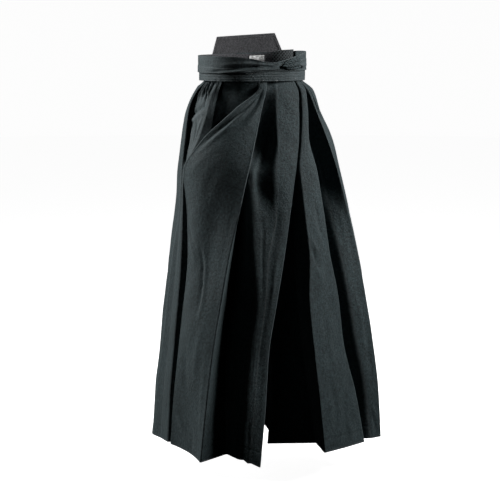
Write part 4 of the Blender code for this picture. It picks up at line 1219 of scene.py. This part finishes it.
def board_spot(across, down):
    half = BOARD_HALF_TOP + (BOARD_HALF_BOTTOM - BOARD_HALF_TOP) * down
    x = BOARD_MIDDLE + half * (1 - 2 * across)
    z = BOARD_TOP + (BOARD_BOTTOM - BOARD_TOP) * down + BOARD_ROLL * (x - BOARD_MIDDLE)
    return x, board_back - BOARD_CURVE * x * x + BOARD_LEAN * (z - BOARD_BOTTOM), z


board = laid_sheet(BOARD_COLUMNS, BOARD_ROWS, board_spot, (-1, 1))
board_height = BOARD_TOP - BOARD_BOTTOM
from_top = -board.levels[:, None] * board_height
mean_half = (BOARD_HALF_TOP + BOARD_HALF_BOTTOM) / 2
from_side = (1 - np.abs(board.stations)) * mean_half
board.raised -= TOP_FURROW[0] * bell(from_top - BINDING, TOP_FURROW[1])
board.raised -= (SIDE_FURROW[0] * bell(from_side - SIDE_BINDING, SIDE_FURROW[1])
                 * (from_top > BINDING))
board.worn = np.maximum(bell(from_top, BOARD_WEAR), bell(from_side, BOARD_WEAR))
fit(board.make("back_board", BOARD_THICKNESS, board_cover, round_edges=0.0012), "koshi_ita")
BOARD_STITCH = 0.0036
BOARD_STITCH_SHARE = 0.66
BOARD_STITCH_RADIUS = 0.0006
binding_level = -BINDING / board_height
side_place = 1 - SIDE_BINDING / mean_half
board_marks = []
for path in (((-.985, binding_level), (.985, binding_level)),
             ((-side_place, binding_level - .03), (-side_place, -.98)),
             ((side_place, binding_level - .03), (side_place, -.98))):
    board_marks += row_of_stitches(board, path, BOARD_STITCH)
board_marks += [(spot - out * BOARD_THICKNESS, along, -out) for spot, along, out in board_marks]
board_thread = thread("board thread", (0.012, 0.012, 0.014))
stitches("board_stitching", board_marks, BOARD_STITCH * BOARD_STITCH_SHARE, BOARD_STITCH_RADIUS,
         board_thread)

# ---- Care label --------------------------------------------------------------
# A blank strip of white woven tape inside the back waist, at the foot of the board, with two
# soft creases; its folded-under ends and their stitches are not drawn.
LABEL_MIDDLE = 0.053
LABEL_HALF_WIDTH = 0.019
LABEL_BOTTOM = 0.008
LABEL_TOP = 0.0315
LABEL_THICKNESS = 0.001
LABEL_OFFSET = INNER_BAND_OFFSET - LABEL_THICKNESS - 2 * SEAM_GAP
LABEL_COLUMNS = 24
LABEL_ROWS = 16


def label_spot(across, down):
    x = LABEL_MIDDLE + LABEL_HALF_WIDTH * (1 - 2 * across)
    z = LABEL_TOP + (LABEL_BOTTOM - LABEL_TOP) * down
    return x, back_depth(x, LABEL_OFFSET + LABEL_THICKNESS), z + BOARD_ROLL * (x - LABEL_MIDDLE)


label = laid_sheet(LABEL_COLUMNS, LABEL_ROWS, label_spot)
press_creases(label, ((((.30, -.1), (.36, -.9)), .0005, .003, .3, .3, (0, 1)),
                      (((.74, -.05), (.66, -.8)), -.0004, .003, .3, .3, (0, 1))))
white_tape = twill("white woven tape", (0.92, 0.92, 0.91), (0.97, 0.97, 0.96), rib=0.0005,
                   sheen=0.1)
fit(label.make("care_label_blank", LABEL_THICKNESS, white_tape, round_edges=0.0003),
    "care_label", label)

# ---- Studio ------------------------------------------------------------------
# A pale floor, large soft lamps at both sides, weaker ones in front and behind, and the camera
# a little above the waist, looking at the wearer's right front.
VIEW_TURN = radians(25)         # round to the wearer's right
VIEW_DOWN = radians(8.7)
VIEW_DISTANCE = 3.5
LENS = 100.8
AIM_HEIGHT = -0.449
AIM_RIGHT = -0.006
sight = (-sin(VIEW_TURN) * cos(VIEW_DOWN), -cos(VIEW_TURN) * cos(VIEW_DOWN), sin(VIEW_DOWN))
aim = (AIM_RIGHT * cos(VIEW_TURN), -AIM_RIGHT * sin(VIEW_TURN), AIM_HEIGHT)
lens = bpy.data.cameras.new("camera")
lens.lens = LENS
lens.sensor_width = 36
camera = bpy.data.objects.new("camera", lens)
camera.location = [a + VIEW_DISTANCE * s for a, s in zip(aim, sight)]
camera.rotation_euler = (pi / 2 - VIEW_DOWN, 0, -VIEW_TURN)
bpy.context.scene.collection.objects.link(camera)
bpy.context.scene.camera = camera


def lamp(name, turn, rise, distance, width, height, power):
    """A soft box that faces the garment, turned round it from the camera's side."""
    light = bpy.data.lights.new(name, "AREA")
    light.shape = "RECTANGLE"
    light.size, light.size_y = width, height
    light.energy = power
    box = bpy.data.objects.new(name, light)
    around = -VIEW_TURN + radians(turn)
    box.location = (distance * sin(around), -distance * cos(around), AIM_HEIGHT + rise)
    target = np.array((0, 0, AIM_HEIGHT)) - np.array(box.location)
    level = np.hypot(target[0], target[1])
    box.rotation_euler = (pi / 2 + np.arctan2(target[2], level), 0, around)
    bpy.context.scene.collection.objects.link(box)


lamp("left_lamp", -94, 1.15, 1.65, 0.8, 1.0, 52)
lamp("right_lamp", 85, 1.15, 1.65, 0.8, 1.0, 50)
lamp("front_lamp", -20, 0.6, 3.6, 1.2, 0.8, 1)
lamp("back_lamp", 180, 1.0, 3.0, 1.6, 1.2, 14)

FLOOR_HEIGHT = -1.0
BACKDROP_RADIUS = 12.0
pale_paper = Finish("pale paper", {
    "Base Color": (0.8, 0.8, 0.8, 1), "Roughness": 0.9,
    "Emission Color": (1, 1, 1, 1), "Emission Strength": 0.97}).material
bpy.ops.mesh.primitive_circle_add(vertices=64, radius=BACKDROP_RADIUS, fill_type="NGON",
                                  location=(0, 0, FLOOR_HEIGHT))
floor = bpy.context.object
floor.name = "floor"
bpy.ops.mesh.primitive_uv_sphere_add(segments=64, ring_count=32, radius=BACKDROP_RADIUS * 1.02,
                                     location=(0, 0, FLOOR_HEIGHT))
backdrop = bpy.context.object
backdrop.name = "backdrop"
for paper in (floor, backdrop):
    paper.data.materials.append(pale_paper)
    paper.visible_diffuse = False
    paper.visible_glossy = False
    paper.visible_transmission = False
backdrop.visible_shadow = False

world = bpy.data.worlds.new("studio")
bpy.context.scene.world = world
world.use_nodes = True
glow = world.node_tree.nodes["Background"]
glow.inputs["Color"].default_value = (1, 1, 1, 1)
glow.inputs["Strength"].default_value = 0.0
bpy.context.scene.view_settings.view_transform = "Standard"
